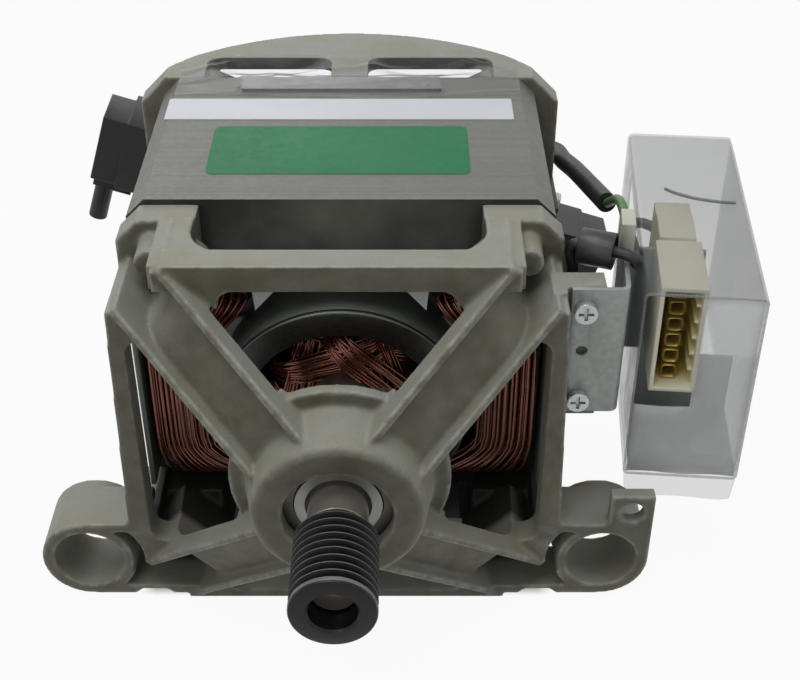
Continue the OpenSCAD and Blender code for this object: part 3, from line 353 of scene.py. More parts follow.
    @staticmethod
    def _turning(t: Tree, inside: object, outside: object) -> None:
        """Mask of the outermost radius about the shaft, and fine tool rings."""
        parts = t.axes()
        flat = t.add("ShaderNodeCombineXYZ", {0: parts["X"], 1: parts["Z"]}).outputs[0]
        radius = t.add("ShaderNodeVectorMath", {0: flat}, operation="LENGTH").outputs["Value"]
        crest = t.add("ShaderNodeMapRange",
                      {0: radius, 1: inside.outputs["Inner"], 2: inside.outputs["Outer"]})
        t.tree.links.new(crest.outputs[0], outside.inputs["Crest"])
        ripple = t.product(t.math("ADD", radius, parts["Y"]), 4000.0)
        rings = t.add("ShaderNodeTexNoise", {"W": ripple}, noise_dimensions="1D").outputs["Fac"]
        t.tree.links.new(rings, outside.inputs["Rings"])


@dataclass(frozen=True)
class Finish:
    """One finish: its colours, its gloss and the pattern over it."""

    name: str
    colour: Colour
    second: Colour
    pattern: Pattern = Pattern.GRAIN
    metallic: float = 0.0
    rough: float = 0.5
    scale: float = 900.0
    relief: float = 0.1
    mix: float = 0.5
    coat: float = 0.0
    alpha: float = 1.0
    inner: float = 0.0
    outer: float = 0.01
    gloss: float = 0.5

    def material(self, effects: Effects) -> bpy.types.Material:
        """Builds the material.

        Args:
            effects: Shared shader groups.

        Returns:
            The material, ready to use.
        """
        material = bpy.data.materials.new(self.name)
        material.use_nodes = True
        t = Tree(material.node_tree)
        shader = material.node_tree.nodes["Principled BSDF"]
        shader.inputs["Metallic"].default_value = self.metallic
        shader.inputs["Specular IOR Level"].default_value = self.gloss
        shader.inputs["Coat Weight"].default_value = self.coat
        shader.inputs["Coat Roughness"].default_value = 0.15
        grain = self._use(t, effects.grain, Scale=self.scale)
        colour, rough, height = self._surface(t, effects, grain)
        t.tree.links.new(colour, shader.inputs["Base Color"])
        t.tree.links.new(rough, shader.inputs["Roughness"])
        bump = t.add("ShaderNodeBump", {"Strength": self.relief, "Distance": 0.0004, "Height": height})
        t.tree.links.new(bump.outputs["Normal"], shader.inputs["Normal"])
        if self.alpha < 1.0:
            facing = t.add("ShaderNodeLayerWeight", {"Blend": 0.4}).outputs["Facing"]
            rim = min(1.0, 4.0 * self.alpha)
            t.tree.links.new(t.spread(facing, 0.35, 1.0, self.alpha, rim), shader.inputs["Alpha"])
        return material

    @staticmethod
    def _use(t: Tree, group: bpy.types.NodeTree, **values: float) -> bpy.types.NodeOutputs:
        """Places a shared effect and returns its outputs."""
        return t.add("ShaderNodeGroup", values, node_tree=group).outputs

    def _surface(self, t: Tree, effects: Effects, grain: object) -> tuple:
        """Colour, roughness and height sockets for the pattern."""
        mottle = t.spread(grain["Mottle"], 0.35, 0.65, 0.0, self.mix)
        colour = t.blend("MIX", mottle, self.colour, self.second)
        rough = t.spread(grain["Speckle"], 0.3, 0.7, self.rough - 0.07, self.rough + 0.07)
        height = grain["Height"]
        if self.pattern is Pattern.CAST:
            colour = self._cast(t, effects, colour)
        elif self.pattern is Pattern.SHEETS:
            colour, height = self._stacked(t, effects, colour, grain)
        elif self.pattern is Pattern.TURNED:
            turning = self._use(t, effects.turning, Inner=self.inner, Outer=self.outer)
            # Rubbed crests with painted highlights: the outermost radius takes the pale second colour.
            worn_crest_glint = t.product(turning["Crest"], t.spread(grain["Mottle"], 0.3, 0.6, 0.5, 1.0))
            colour = t.blend("MIX", worn_crest_glint, self.colour, self.second)
            height = t.math("ADD", t.product(grain["Height"], 0.2), turning["Rings"])
        elif self.pattern is Pattern.PLATED:
            wear_and_light = self._use(t, effects.wear_and_light, Scale=500.0)
            # Worn edges with painted highlights: a lighter copy of the plate colour.
            colour = t.blend("MIX", t.product(wear_and_light["Edge"], 0.4), colour, shade(self.colour, 1.35))
        elif self.pattern is Pattern.WIRE:
            rough = t.spread(grain["Mottle"], 0.3, 0.7, self.rough - 0.1, self.rough + 0.12)
        elif self.pattern is Pattern.FILM:
            height = grain["Mottle"]
        elif self.pattern is Pattern.CAVITY:
            colour = t.blend("MIX", self._inside(t), colour, srgb(216, 200, 116))
        elif self.pattern is Pattern.PAPER:
            # Painted shade: the paper goes near black low down.
            low_shade = t.spread(t.axes()["Z"], 0.03, 0.005, 0.0, 0.92)
            colour = t.blend("MIX", low_shade, colour, srgb(26, 25, 23))
        return colour, rough, height

    def _cast(self, t: Tree, effects: Effects, colour: object) -> bpy.types.NodeSocket:
        """Colour of a casting: painted shade on forward faces, in hollows and inside, dust and painted top
        light, worn edges and painted edge highlights.
        """
        wear_and_light = self._use(t, effects.wear_and_light, Scale=260.0)
        dust_and_light = self._use(t, effects.dust_and_light, Scale=150.0)
        # Painted shade on forward faces, dust and painted top light, painted shade in hollows, worn edges
        # with painted highlights, painted shade inside.
        for mask, amount, tone in (
                (dust_and_light["Grime"], 0.86, shade(self.second, 0.28)),
                (dust_and_light["Dust"], 0.2, shade(self.colour, 1.2)),
                (wear_and_light["Hollow"], 0.65, shade(self.second, 0.22)),
                (wear_and_light["Edge"], 0.75, shade(self.colour, 1.3)),
                (dust_and_light["Soot"], 0.94, srgb(15, 15, 14))):
            colour = t.blend("MIX", t.product(mask, amount), colour, tone)
        return colour

    def _stacked(self, t: Tree, effects: Effects, colour: object, grain: object) -> tuple:
        """Colour and height of stacked sheets, with painted sheen patches and painted shade low down on the
        front face.
        """
        sheets = self._use(t, effects.sheets, Pitch=0.0007)
        colour = t.blend("MIX", t.product(sheets["Tone"], 0.35), colour, shade(self.second, 0.8))
        lines = t.spread(sheets["Line"], 0.0, 1.0, 0.3, 0.0)
        colour = t.blend("MULTIPLY", lines, colour, (0.3, 0.28, 0.26, 1))
        front_shade = self._use(t, effects.dust_and_light, Scale=40.0)["Grime"]
        cloud = self._use(t, effects.grain, Scale=420.0)["Mottle"]
        # Painted sheen and shade on the front face: dark and paler olive patches.
        painted_sheen_and_shade = t.blend("MIX", t.spread(cloud, 0.46, 0.66, 0.0, 0.8), srgb(38, 39, 34), srgb(92, 92, 78))
        colour = t.blend("MIX", t.spread(front_shade, 0.0, 0.5, 0.0, 0.96), colour, painted_sheen_and_shade)
        # Painted shade: the front face goes near black low down.
        low_shade = t.spread(t.axes()["Z"], 0.042, 0.02, 0.0, 0.85)
        deep = t.product(low_shade, t.spread(front_shade, 0.0, 0.5, 0.0, 1.0))
        colour = t.blend("MIX", deep, colour, srgb(16, 16, 15))
        height = t.math("ADD", t.product(grain["Height"], 0.3), t.product(sheets["Line"], 0.8))
        return colour, height

    @staticmethod
    def _inside(t: Tree) -> bpy.types.NodeSocket:
        """Mask of the connector's plug cavity, in the frame of its bracket."""
        where = t.add("ShaderNodeTexCoord").outputs["Object"]
        shift = tuple(-v * MM for v in GROUP_PLACE)
        local = t.add("ShaderNodeMapping", {"Vector": where, "Location": shift}).outputs[0]
        turned = t.add("ShaderNodeVectorRotate", {"Vector": local, "Angle": math.radians(GROUP_TURN)},
                       rotation_type="Z_AXIS").outputs[0]
        parts = t.add("ShaderNodeSeparateXYZ", {0: turned}).outputs
        mask = t.spread(parts["Y"], 0.007, 0.014, 0.0, 1.0)
        for axis, low, high in (("X", 8.6, 19.4), ("Z", 8.3, 38.6)):
            above = t.math("GREATER_THAN", parts[axis], low * MM)
            below = t.math("LESS_THAN", parts[axis], high * MM)
            mask = t.product(mask, above, below)
        return mask


class Workshop:
    """Makes meshes, dresses them and puts them on their bodies."""

    def __init__(self, finishes: dict[str, bpy.types.Material]) -> None:
        """Keeps the materials by finish name."""
        self.finishes = finishes
        self.wire_tree = self._make_wire_tree()
        self.copy_tree = self._make_copy_tree()

    @staticmethod
    def _new_geometry_tree(name: str, inputs: Sequence[tuple[str, str]]) -> tuple[Tree, object, object]:
        """Starts a geometry tree with its named inputs."""
        tree = bpy.data.node_groups.new(name, "GeometryNodeTree")
        tree.interface.new_socket("Geometry", in_out="INPUT", socket_type="NodeSocketGeometry")
        for label, kind in inputs:
            tree.interface.new_socket(label, in_out="INPUT", socket_type=kind)
        tree.interface.new_socket("Geometry", in_out="OUTPUT", socket_type="NodeSocketGeometry")
        return Tree(tree), tree.nodes.new("NodeGroupInput"), tree.nodes.new("NodeGroupOutput")

    def _make_wire_tree(self) -> bpy.types.NodeTree:
        """Tree that sweeps a round wire along each chain of edges."""
        t, inside, outside = self._new_geometry_tree("swept wire", (
            ("Diameter", "NodeSocketFloat"), ("Sides", "NodeSocketInt"), ("Finish", "NodeSocketMaterial")))
        curve = t.add("GeometryNodeMeshToCurve", {"Mesh": inside.outputs["Geometry"]}).outputs[0]
        radius = t.math("MULTIPLY", inside.outputs["Diameter"], 0.5)
        ring = t.add("GeometryNodeCurvePrimitiveCircle",
                     {"Resolution": inside.outputs["Sides"], "Radius": radius}).outputs[0]
        tube = t.add("GeometryNodeCurveToMesh",
                     {"Curve": curve, "Profile Curve": ring, "Fill Caps": True}).outputs[0]
        smooth = t.add("GeometryNodeSetShadeSmooth", {0: tube}).outputs[0]
        self._finish_tree(t, smooth, inside, outside)
        return t.tree

    def _make_copy_tree(self) -> bpy.types.NodeTree:
        """Tree that puts a copy of a pattern piece on each point, turned by a given angle."""
        t, inside, outside = self._new_geometry_tree("repeated piece", (
            ("Pattern", "NodeSocketObject"), ("Turn", "NodeSocketVector"), ("Finish", "NodeSocketMaterial")))
        shape = t.add("GeometryNodeObjectInfo", {0: inside.outputs["Pattern"]}).outputs["Geometry"]
        turn = t.add("FunctionNodeEulerToRotation", {0: inside.outputs["Turn"]}).outputs[0]
        points = t.add("GeometryNodeMeshToPoints", {0: inside.outputs["Geometry"]}).outputs[0]
        copies = t.add("GeometryNodeInstanceOnPoints",
                       {"Points": points, "Instance": shape, "Rotation": turn}).outputs[0]
        self._finish_tree(t, copies, inside, outside)
        return t.tree

    @staticmethod
    def _finish_tree(t: Tree, last: object, inside: object, outside: object) -> None:
        """Ends a tree in Realize Instances and Set Material."""
        real = t.add("GeometryNodeRealizeInstances", {0: last}).outputs[0]
        dressed = t.add("GeometryNodeSetMaterial", {0: real, "Material": inside.outputs["Finish"]}).outputs[0]
        t.tree.links.new(dressed, outside.inputs[0])

    def grow(self, piece: bpy.types.Object, tree: bpy.types.NodeTree, **values: object) -> bpy.types.Object:
        """Runs a geometry tree on a piece and keeps the result as its mesh.

        Args:
            piece: Object whose mesh the tree starts from.
            tree: Geometry tree.
            values: Values of the tree's named inputs, with underscores as spaces.

        Returns:
            The piece, with a plain mesh.
        """
        modifier = piece.modifiers.new("grow", "NODES")
        modifier.node_group = tree
        for item in tree.interface.items_tree:
            key = item.name.replace(" ", "_")
            if item.in_out == "INPUT" and key in values:
                modifier[item.identifier] = values[key]
        return self.settle(piece)

    @staticmethod
    def settle(piece: bpy.types.Object) -> bpy.types.Object:
        """Turns a piece with modifiers into a plain mesh."""
        bpy.context.view_layer.update()
        graph = bpy.context.evaluated_depsgraph_get()
        mesh = bpy.data.meshes.new_from_object(piece.evaluated_get(graph), depsgraph=graph)
        piece.modifiers.clear()
        piece.data = mesh
        return piece

    @staticmethod
    def piece(name: str, points: Iterable[Sequence[float]], edges: Iterable = (),
              faces: Iterable = ()) -> bpy.types.Object:
        """Makes an object from points in metres.

        Args:
            name: Name of the piece.
            points: Places of the vertices.
            edges: Pairs of vertex numbers.
            faces: Lists of vertex numbers.

        Returns:
            The new object.
        """
        mesh = bpy.data.meshes.new(name)
        mesh.from_pydata([tuple(p) for p in points], list(edges), list(faces))
        mesh.update()
        made = bpy.data.objects.new(name, mesh)
        bpy.context.scene.collection.objects.link(made)
        return made

    @staticmethod
    def outward(piece: bpy.types.Object) -> bpy.types.Object:
        """Merges doubles and turns the faces outwards."""
        with opened(piece.data) as work:
            bmesh.ops.remove_doubles(work, verts=work.verts, dist=MERGE)
            bmesh.ops.recalc_face_normals(work, faces=work.faces)
        return piece

    @staticmethod
    def smoothed(piece: bpy.types.Object) -> bpy.types.Object:
        """Shades every face of a piece smooth."""
        for face in piece.data.polygons:
            face.use_smooth = True
        return piece

    def thickened(self, piece: bpy.types.Object, thickness: float) -> bpy.types.Object:
        """Gives a sheet a wall of so many millimetres, half of it to each side."""
        wall = piece.modifiers.new("wall", "SOLIDIFY")
        wall.thickness = thickness * MM
        wall.offset = 0.0
        return self.settle(piece)

    def copy_of(self, node: str, name: str) -> bpy.types.Object:
        """Copy of a CAD node with its triangles joined."""
        made = bpy.data.objects.new(name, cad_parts[node].data.copy())
        bpy.context.scene.collection.objects.link(made)
        made.data.materials.clear()
        with opened(made.data) as work:
            bmesh.ops.remove_doubles(work, verts=work.verts, dist=CAD_MERGE)
        return made

    @staticmethod
    def prism(outline: Sequence[Spot], low: float, high: float, axis: str) -> Shape:
        """Closed prism of an outline in millimetres.

        Args:
            outline: Points across the axis, X and Y for a prism along Z or X and Z for one along Y.
            low: Start along the axis.
            high: End along the axis.
            axis: Axis of the prism, "Y" or "Z".

        Returns:
            Points in metres, and faces.
        """
        points = []
        for level in (low, high):
            for a, b in outline:
                points.append((a * MM, b * MM, level * MM) if axis == "Z" else (a * MM, level * MM, b * MM))
        return points, walls(len(outline))

    def gathered(self, name: str, shapes: Sequence[Shape]) -> bpy.types.Object:
        """Several closed shapes as one object with its faces outwards."""
        points, faces = [], []
        for shape in shapes:
            faces += [tuple(len(points) + k for k in face) for face in shape[1]]
            points += shape[0]
        return self.outward(self.piece(name, points, faces=faces))

    def add_shapes(self, made: bpy.types.Object, shapes: Sequence[Shape]) -> None:
        """Lays closed shapes into a mesh, ready for a remesh that joins them."""
        extra = self.gathered("added_shapes", shapes)
        with opened(made.data) as work:
            work.from_mesh(extra.data)
        bpy.data.objects.remove(extra)

    def cut_shapes(self, made: bpy.types.Object, shapes: Sequence[Shape]) -> bpy.types.Object:
        """Cuts closed shapes out of a closed mesh."""
        cutter = self.gathered("cut_shapes", shapes)
        cut = made.modifiers.new("cut", "BOOLEAN")
        cut.operation = "DIFFERENCE"
        cut.solver = "EXACT"
        cut.object = cutter
        self.settle(made)
        bpy.data.objects.remove(cutter)
        return made

    @staticmethod
    def _remesh(made: bpy.types.Object, voxel: float) -> None:
        """Adds a voxel remesh."""
        remesh = made.modifiers.new("remesh", "REMESH")
        remesh.mode = "VOXEL"
        remesh.voxel_size = voxel
        remesh.use_smooth_shade = True

    def softened(self, node: str, name: str, voxel: float, passes: int, keep: float,
                 added: Sequence[Shape] = (), cuts: Sequence[Shape] = ()) -> bpy.types.Object:
        """Copy of a CAD node with the rounded edges and corners of a casting or moulding.

        Args:
            node: CAD node to copy.
            name: Name of the copy.
            voxel: Size of the remesh, in metres.
            passes: Smoothing passes.
            keep: Share of triangles that is kept.
            added: Closed shapes that the casting also has.
            cuts: Closed shapes that are hollow in it.

        Returns:
            The rounded copy.
        """
        made = self.copy_of(node, name)
        if added:
            self.add_shapes(made, added)
        if cuts:
            self._remesh(made, voxel)
            self.settle(made)
            self.cut_shapes(made, cuts)
        self._remesh(made, voxel)
        smooth = made.modifiers.new("smooth", "SMOOTH")
        smooth.factor = 0.5
        smooth.iterations = passes
        thin = made.modifiers.new("thin", "DECIMATE")
        thin.ratio = keep
        return self.settle(made)

    def eased(self, node: str, name: str, width: float, segments: int = 2,
              cuts: Sequence[Shape] = ()) -> bpy.types.Object:
        """Copy of a CAD node with its sharp edges eased.

        Args:
            node: CAD node to copy.
            name: Name of the copy.
            width: Width of the eased edge, in metres.
            segments: Faces across an eased edge.
            cuts: Closed shapes that are cut away first.

        Returns:
            The eased copy.
        """
        made = self.copy_of(node, name)
        if cuts:
            self.cut_shapes(made, cuts)
        flat, sharp = math.radians(2), math.radians(38)
        with opened(made.data) as work:
            bmesh.ops.dissolve_limit(work, angle_limit=flat, verts=work.verts, edges=work.edges)
            for face in work.faces:
                face.smooth = True
        bevel = made.modifiers.new("ease", "BEVEL")
        bevel.width = width
        bevel.segments = segments
        bevel.limit_method = "ANGLE"
        bevel.angle_limit = sharp
        bevel.harden_normals = True
        return self.settle(made)

    @staticmethod
    def revolved(profile: Sequence[Spot], steps: int) -> Shape:
        """Closed shape of a profile turned about the shaft axis.

        Args:
            profile: Radius and Y of each corner, in millimetres.
            steps: Faces round the axis.

        Returns:
            Points in metres, and faces.
        """
        points, faces = [], []
        for step in range(steps):
            angle = 2 * math.pi * step / steps
            c, s = math.cos(angle), math.sin(angle)
            points += [(r * MM * c, y * MM, r * MM * s) for r, y in profile]
            faces += around(len(profile), step, (step + 1) % steps)
        return points, faces

    def turned(self, name: str, profile: Sequence[Spot], steps: int = 96) -> bpy.types.Object:
        """Piece of a closed profile turned about the shaft axis.

        Args:
            name: Name of the piece.
            profile: Radius and Y of each corner, in millimetres.
            steps: Faces round the axis.

        Returns:
            The turned piece.
        """
        points, faces = self.revolved(profile, steps)
        made = self.outward(self.piece(name, points, faces=faces))
        made.data.set_sharp_from_angle(angle=math.radians(25))
        return made

    def wires(self, name: str, chains: Sequence[Sequence[Sequence[float]]], diameter: float, sides: int,
              finish: str) -> bpy.types.Object:
        """Sweeps a round wire along chains of points in metres.

        Args:
            name: Name of the piece.
            chains: Points of each wire.
            diameter: Wire diameter in metres.
            sides: Faces round the wire.
            finish: Name of the finish.

        Returns:
            The wires as one piece.
        """
        points, edges = [], []
        for chain in chains:
            first = len(points)
            points += [tuple(p) for p in chain]
            edges += [(k, k + 1) for k in range(first, len(points) - 1)]
        return self.grow(self.piece(name, points, edges), self.wire_tree, Diameter=diameter, Sides=sides,
                         Finish=self.finishes[finish])

    def place(self, piece: bpy.types.Object, body: Body, slot: str, finish: str | None = None,
              nodes: Sequence[str] = ()) -> bpy.types.Object:
        """Dresses a piece and puts it on its body.

        Args:
            piece: Finished piece.
            body: Body that it rides on.
            slot: Material slot of the record; not used.
            finish: Finish to give it, if it has none yet.
            nodes: CAD nodes that it stands for.

        Returns:
            The piece.
        """
        if finish:
            piece.data.materials.clear()
            piece.data.materials.append(self.finishes[finish])
        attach(piece, body.value)
        if nodes:
            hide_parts(*nodes)
        LOG.info("%s: %d faces", piece.name, len(piece.data.polygons))
        return piece

    def dress(self, node: str, finish: str) -> None:
        """Gives a CAD node that stays its finish."""
        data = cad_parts[node].data
        data.materials.clear()
        data.materials.append(self.finishes[finish])


def smooth_route(points: Sequence[Point], per: int) -> list[Vector]:
    """Smooth curve through given points.

    Args:
        points: Points in millimetres.
        per: Steps between two points.

    Returns:
        Points in metres.
    """
    pts = [Vector(p) * MM for p in points]
    out = []
    for i in range(len(pts) - 1):
        a, b, c, d = pts[max(i - 1, 0)], pts[i], pts[i + 1], pts[min(i + 2, len(pts) - 1)]
        for k in range(per):
            t = k / per
            out.append(0.5 * (2 * b + (c - a) * t + (2 * a - 5 * b + 4 * c - d) * t ** 2
                              + (3 * b - a - 3 * c + d) * t ** 3))
    return out + [pts[-1]]


def in_group(x: float, y: float, z: float) -> Vector:
    """Place in metres of a point given in the frame of the connector bracket.

    Args:
        x: Distance out from the bracket, in millimetres.
        y: Distance back from its flange.
        z: Height.

    Returns:
        The place in the shared frame.
    """
    c, s = math.cos(math.radians(GROUP_TURN)), math.sin(math.radians(GROUP_TURN))
    return (Vector(GROUP_PLACE) + Vector((x * c + y * s, y * c - x * s, z))) * MM


@dataclass(frozen=True)
class Lamp:
    """One soft square lamp, in metres and watts."""

    name: str
    place: Point
    size: float
    power: float


@dataclass
class Studio:
    """Camera, floor, lamps and background."""

    place: Point = (0.01507, -0.2223, 0.2274)
    pitch: float = 54.17
    lens: float = 61.11
    sensor: float = 36.0
    near: float = 0.01
    floor_z: float = -0.0551
    floor_half: float = 3.0
    floor_grey: float = 0.55
    floor_rough: float = 0.9
    floor_glow: float = 0.94
    shadow: float = 0.9
    shadow_side: Spot = (0.054, 0.058)
    shadow_front: Spot = (0.046, 0.050)
    shadow_back: Spot = (0.168, 0.172)
    ambient: float = 0.2
    aim: Point = (0.0, 0.1, 0.0)
    lamps: tuple[Lamp, ...] = (
        Lamp("top lamp", (-0.15, 0.0, 1.0), 0.7, 5.9),
        Lamp("front lamp", (-0.5, -1.0, 0.75), 0.6, 1.6),
        Lamp("right lamp", (1.0, -0.2, 0.5), 0.6, 1.2),
        Lamp("rear lamp", (-0.3, 1.1, 0.6), 0.6, 1.8))

    def build(self) -> None:
        """Makes the camera, the floor, the lamps and the background."""
        data = bpy.data.cameras.new("photo camera")
        data.lens = self.lens
        data.sensor_width = self.sensor
        data.sensor_fit = "HORIZONTAL"
        data.clip_start = self.near
        camera = bpy.data.objects.new("photo camera", data)
        camera.location = self.place
        camera.rotation_euler = (math.radians(self.pitch), 0, 0)
        bpy.context.scene.collection.objects.link(camera)
        bpy.context.scene.camera = camera
        bpy.context.scene.view_settings.view_transform = "Standard"
        self._floor()
        self._lamps()
        self._background()

    @staticmethod
    def _seen(t: Tree) -> bpy.types.NodeSocket:
        """Mask of camera, glossy and transmission rays."""
        path = t.add("ShaderNodeLightPath").outputs
        some = t.math("MAXIMUM", path["Is Camera Ray"], path["Is Glossy Ray"])
        return t.math("MAXIMUM", some, path["Is Transmission Ray"])

    def _under(self, t: Tree) -> bpy.types.NodeSocket:
        """Mask of the floor under the motor, where its shadow is full."""
        parts = t.axes()
        return t.product(t.spread(t.math("ABSOLUTE", parts["X"]), *self.shadow_side, 1.0, 0.0),
                         t.spread(parts["Y"], *self.shadow_front, 0.0, 1.0),
                         t.spread(parts["Y"], *self.shadow_back, 1.0, 0.0))

    def _floor(self) -> None:
        """Plain pale floor that keeps a soft shadow."""
        half, grey = self.floor_half, self.floor_grey
        corners = [(x * half, y * half, self.floor_z) for x, y in ((-1, -1), (1, -1), (1, 1), (-1, 1))]
        floor = Workshop.piece("floor", corners, faces=[(0, 1, 2, 3)])
        material = bpy.data.materials.new("pale floor")
        material.use_nodes = True
        t = Tree(material.node_tree)
        shader = material.node_tree.nodes["Principled BSDF"]
        shader.inputs["Base Color"].default_value = (grey, grey, grey, 1)
        shader.inputs["Roughness"].default_value = self.floor_rough
        glow = t.add("ShaderNodeEmission", {"Color": (1, 1, 1, 1), "Strength": 1.0}).outputs[0]
        open_floor = t.math("SUBTRACT", self.floor_glow, t.product(self._under(t), self.shadow))
        both = t.add("ShaderNodeMixShader", {0: t.product(self._seen(t), open_floor),
                                             1: shader.outputs[0], 2: glow}).outputs[0]
        t.tree.links.new(both, material.node_tree.nodes["Material Output"].inputs["Surface"])
        floor.data.materials.append(material)

    def _lamps(self) -> None:
        """Soft lamps above, in front and at the sides."""
        for lamp in self.lamps:
            data = bpy.data.lights.new(lamp.name, "AREA")
            data.size = lamp.size
            data.energy = lamp.power
            light = bpy.data.objects.new(lamp.name, data)
            light.location = lamp.place
            aim = Vector(self.aim) - Vector(lamp.place)
            light.rotation_euler = aim.to_track_quat("-Z", "Y").to_euler()
            bpy.context.scene.collection.objects.link(light)

    def _background(self) -> None:
        """White to look at, softer as light."""
        world = bpy.data.worlds.new("studio")
        bpy.context.scene.world = world
        world.use_nodes = True
        t = Tree(world.node_tree)
        strength = t.add("ShaderNodeMapRange", {0: self._seen(t), 3: self.ambient, 4: 1.0}).outputs[0]
        back = world.node_tree.nodes["Background"]
        back.inputs["Color"].default_value = (1, 1, 1, 1)
        t.tree.links.new(strength, back.inputs["Strength"])


@dataclass
class Leads:
    """Sleeved lead, earth lead and field lead on the right side."""

    sleeve_d: float = 5.8
    earth_d: float = 2.6
    field_d: float = 3.0
    per: int = 8
    sides: int = 16
    arm_side: Point = (39.35, 171.0, 28.65)
    sleeve_end: Point = (73.5, 112.0, 34.0)
    sleeve_edge: float = 0.2 * MM
    grip: Point = (60.4, 69.5, 46.2)
    grip_reach: Spot = (1.5, 9.0)
    turn: float = 20.0

    def build(self, shop: Workshop) -> None:
        """Makes the three leads and the wide sleeve."""
        sleeve = (self.arm_side, (43.35, 171, 24.65), (55, 170, 21.5), (64.2, 165, 22.5), (66, 155, 24.5),
                  (68.5, 145, 26.5), (71, 128, 30.5), self.sleeve_end)
        earth = ((73.6, 111.4, 34.15), (73.4, 104, 39), (73, 94, 45.5), (72.9, 86, 48.6), (72.9, 78.4, 49))
        way = Vector((math.cos(math.radians(self.turn)), -math.sin(math.radians(self.turn)), 0))
        grip, (near, far) = Vector(self.grip), self.grip_reach
        field = ((50.9, 73, 31.2), (54.5, 73, 31.2), (58.8, 72, 33), (59.2, 70, 39), tuple(grip - near * way),
                 tuple(grip + far * way), (73.9, 65.2, 45), (75.1, 69.5, 41), (75.7, 79, 40.4), (76, 87, 39),
                 (77.4, 95, 33.5), (78.6, 105, 28.5), (80.3, 111.6, 26.5), (84.6, 114.9, 25.6),
                 (88.9, 111.6, 25.1), (90.2, 104.3, 25))
        self._lead(shop, "sleeved_lead", sleeve, self.sleeve_d, "black rubber", "black_sleeve", "lead_sleeve")
        self._lead(shop, "earth_wire", earth, self.earth_d, "green wire", "green_wire", "earth_lead")
        self._lead(shop, "field_wire", field, self.field_d, "black rubber", "black_sleeve", "field_lead")
        shop.place(shop.eased("field_lead_sleeve", "wide_sleeve", self.sleeve_edge), Body.STATOR,
                   "black_sleeve", "shrink sleeve", ["field_lead_sleeve"])

    def _lead(self, shop: Workshop, name: str, route: Sequence[Point], width: float, finish: str, slot: str,
              node: str) -> None:
        path = smooth_route(route, self.per)
        piece = shop.wires(name, [path], width * MM, self.sides, finish)
        shop.place(piece, Body.STATOR, slot, nodes=[node])


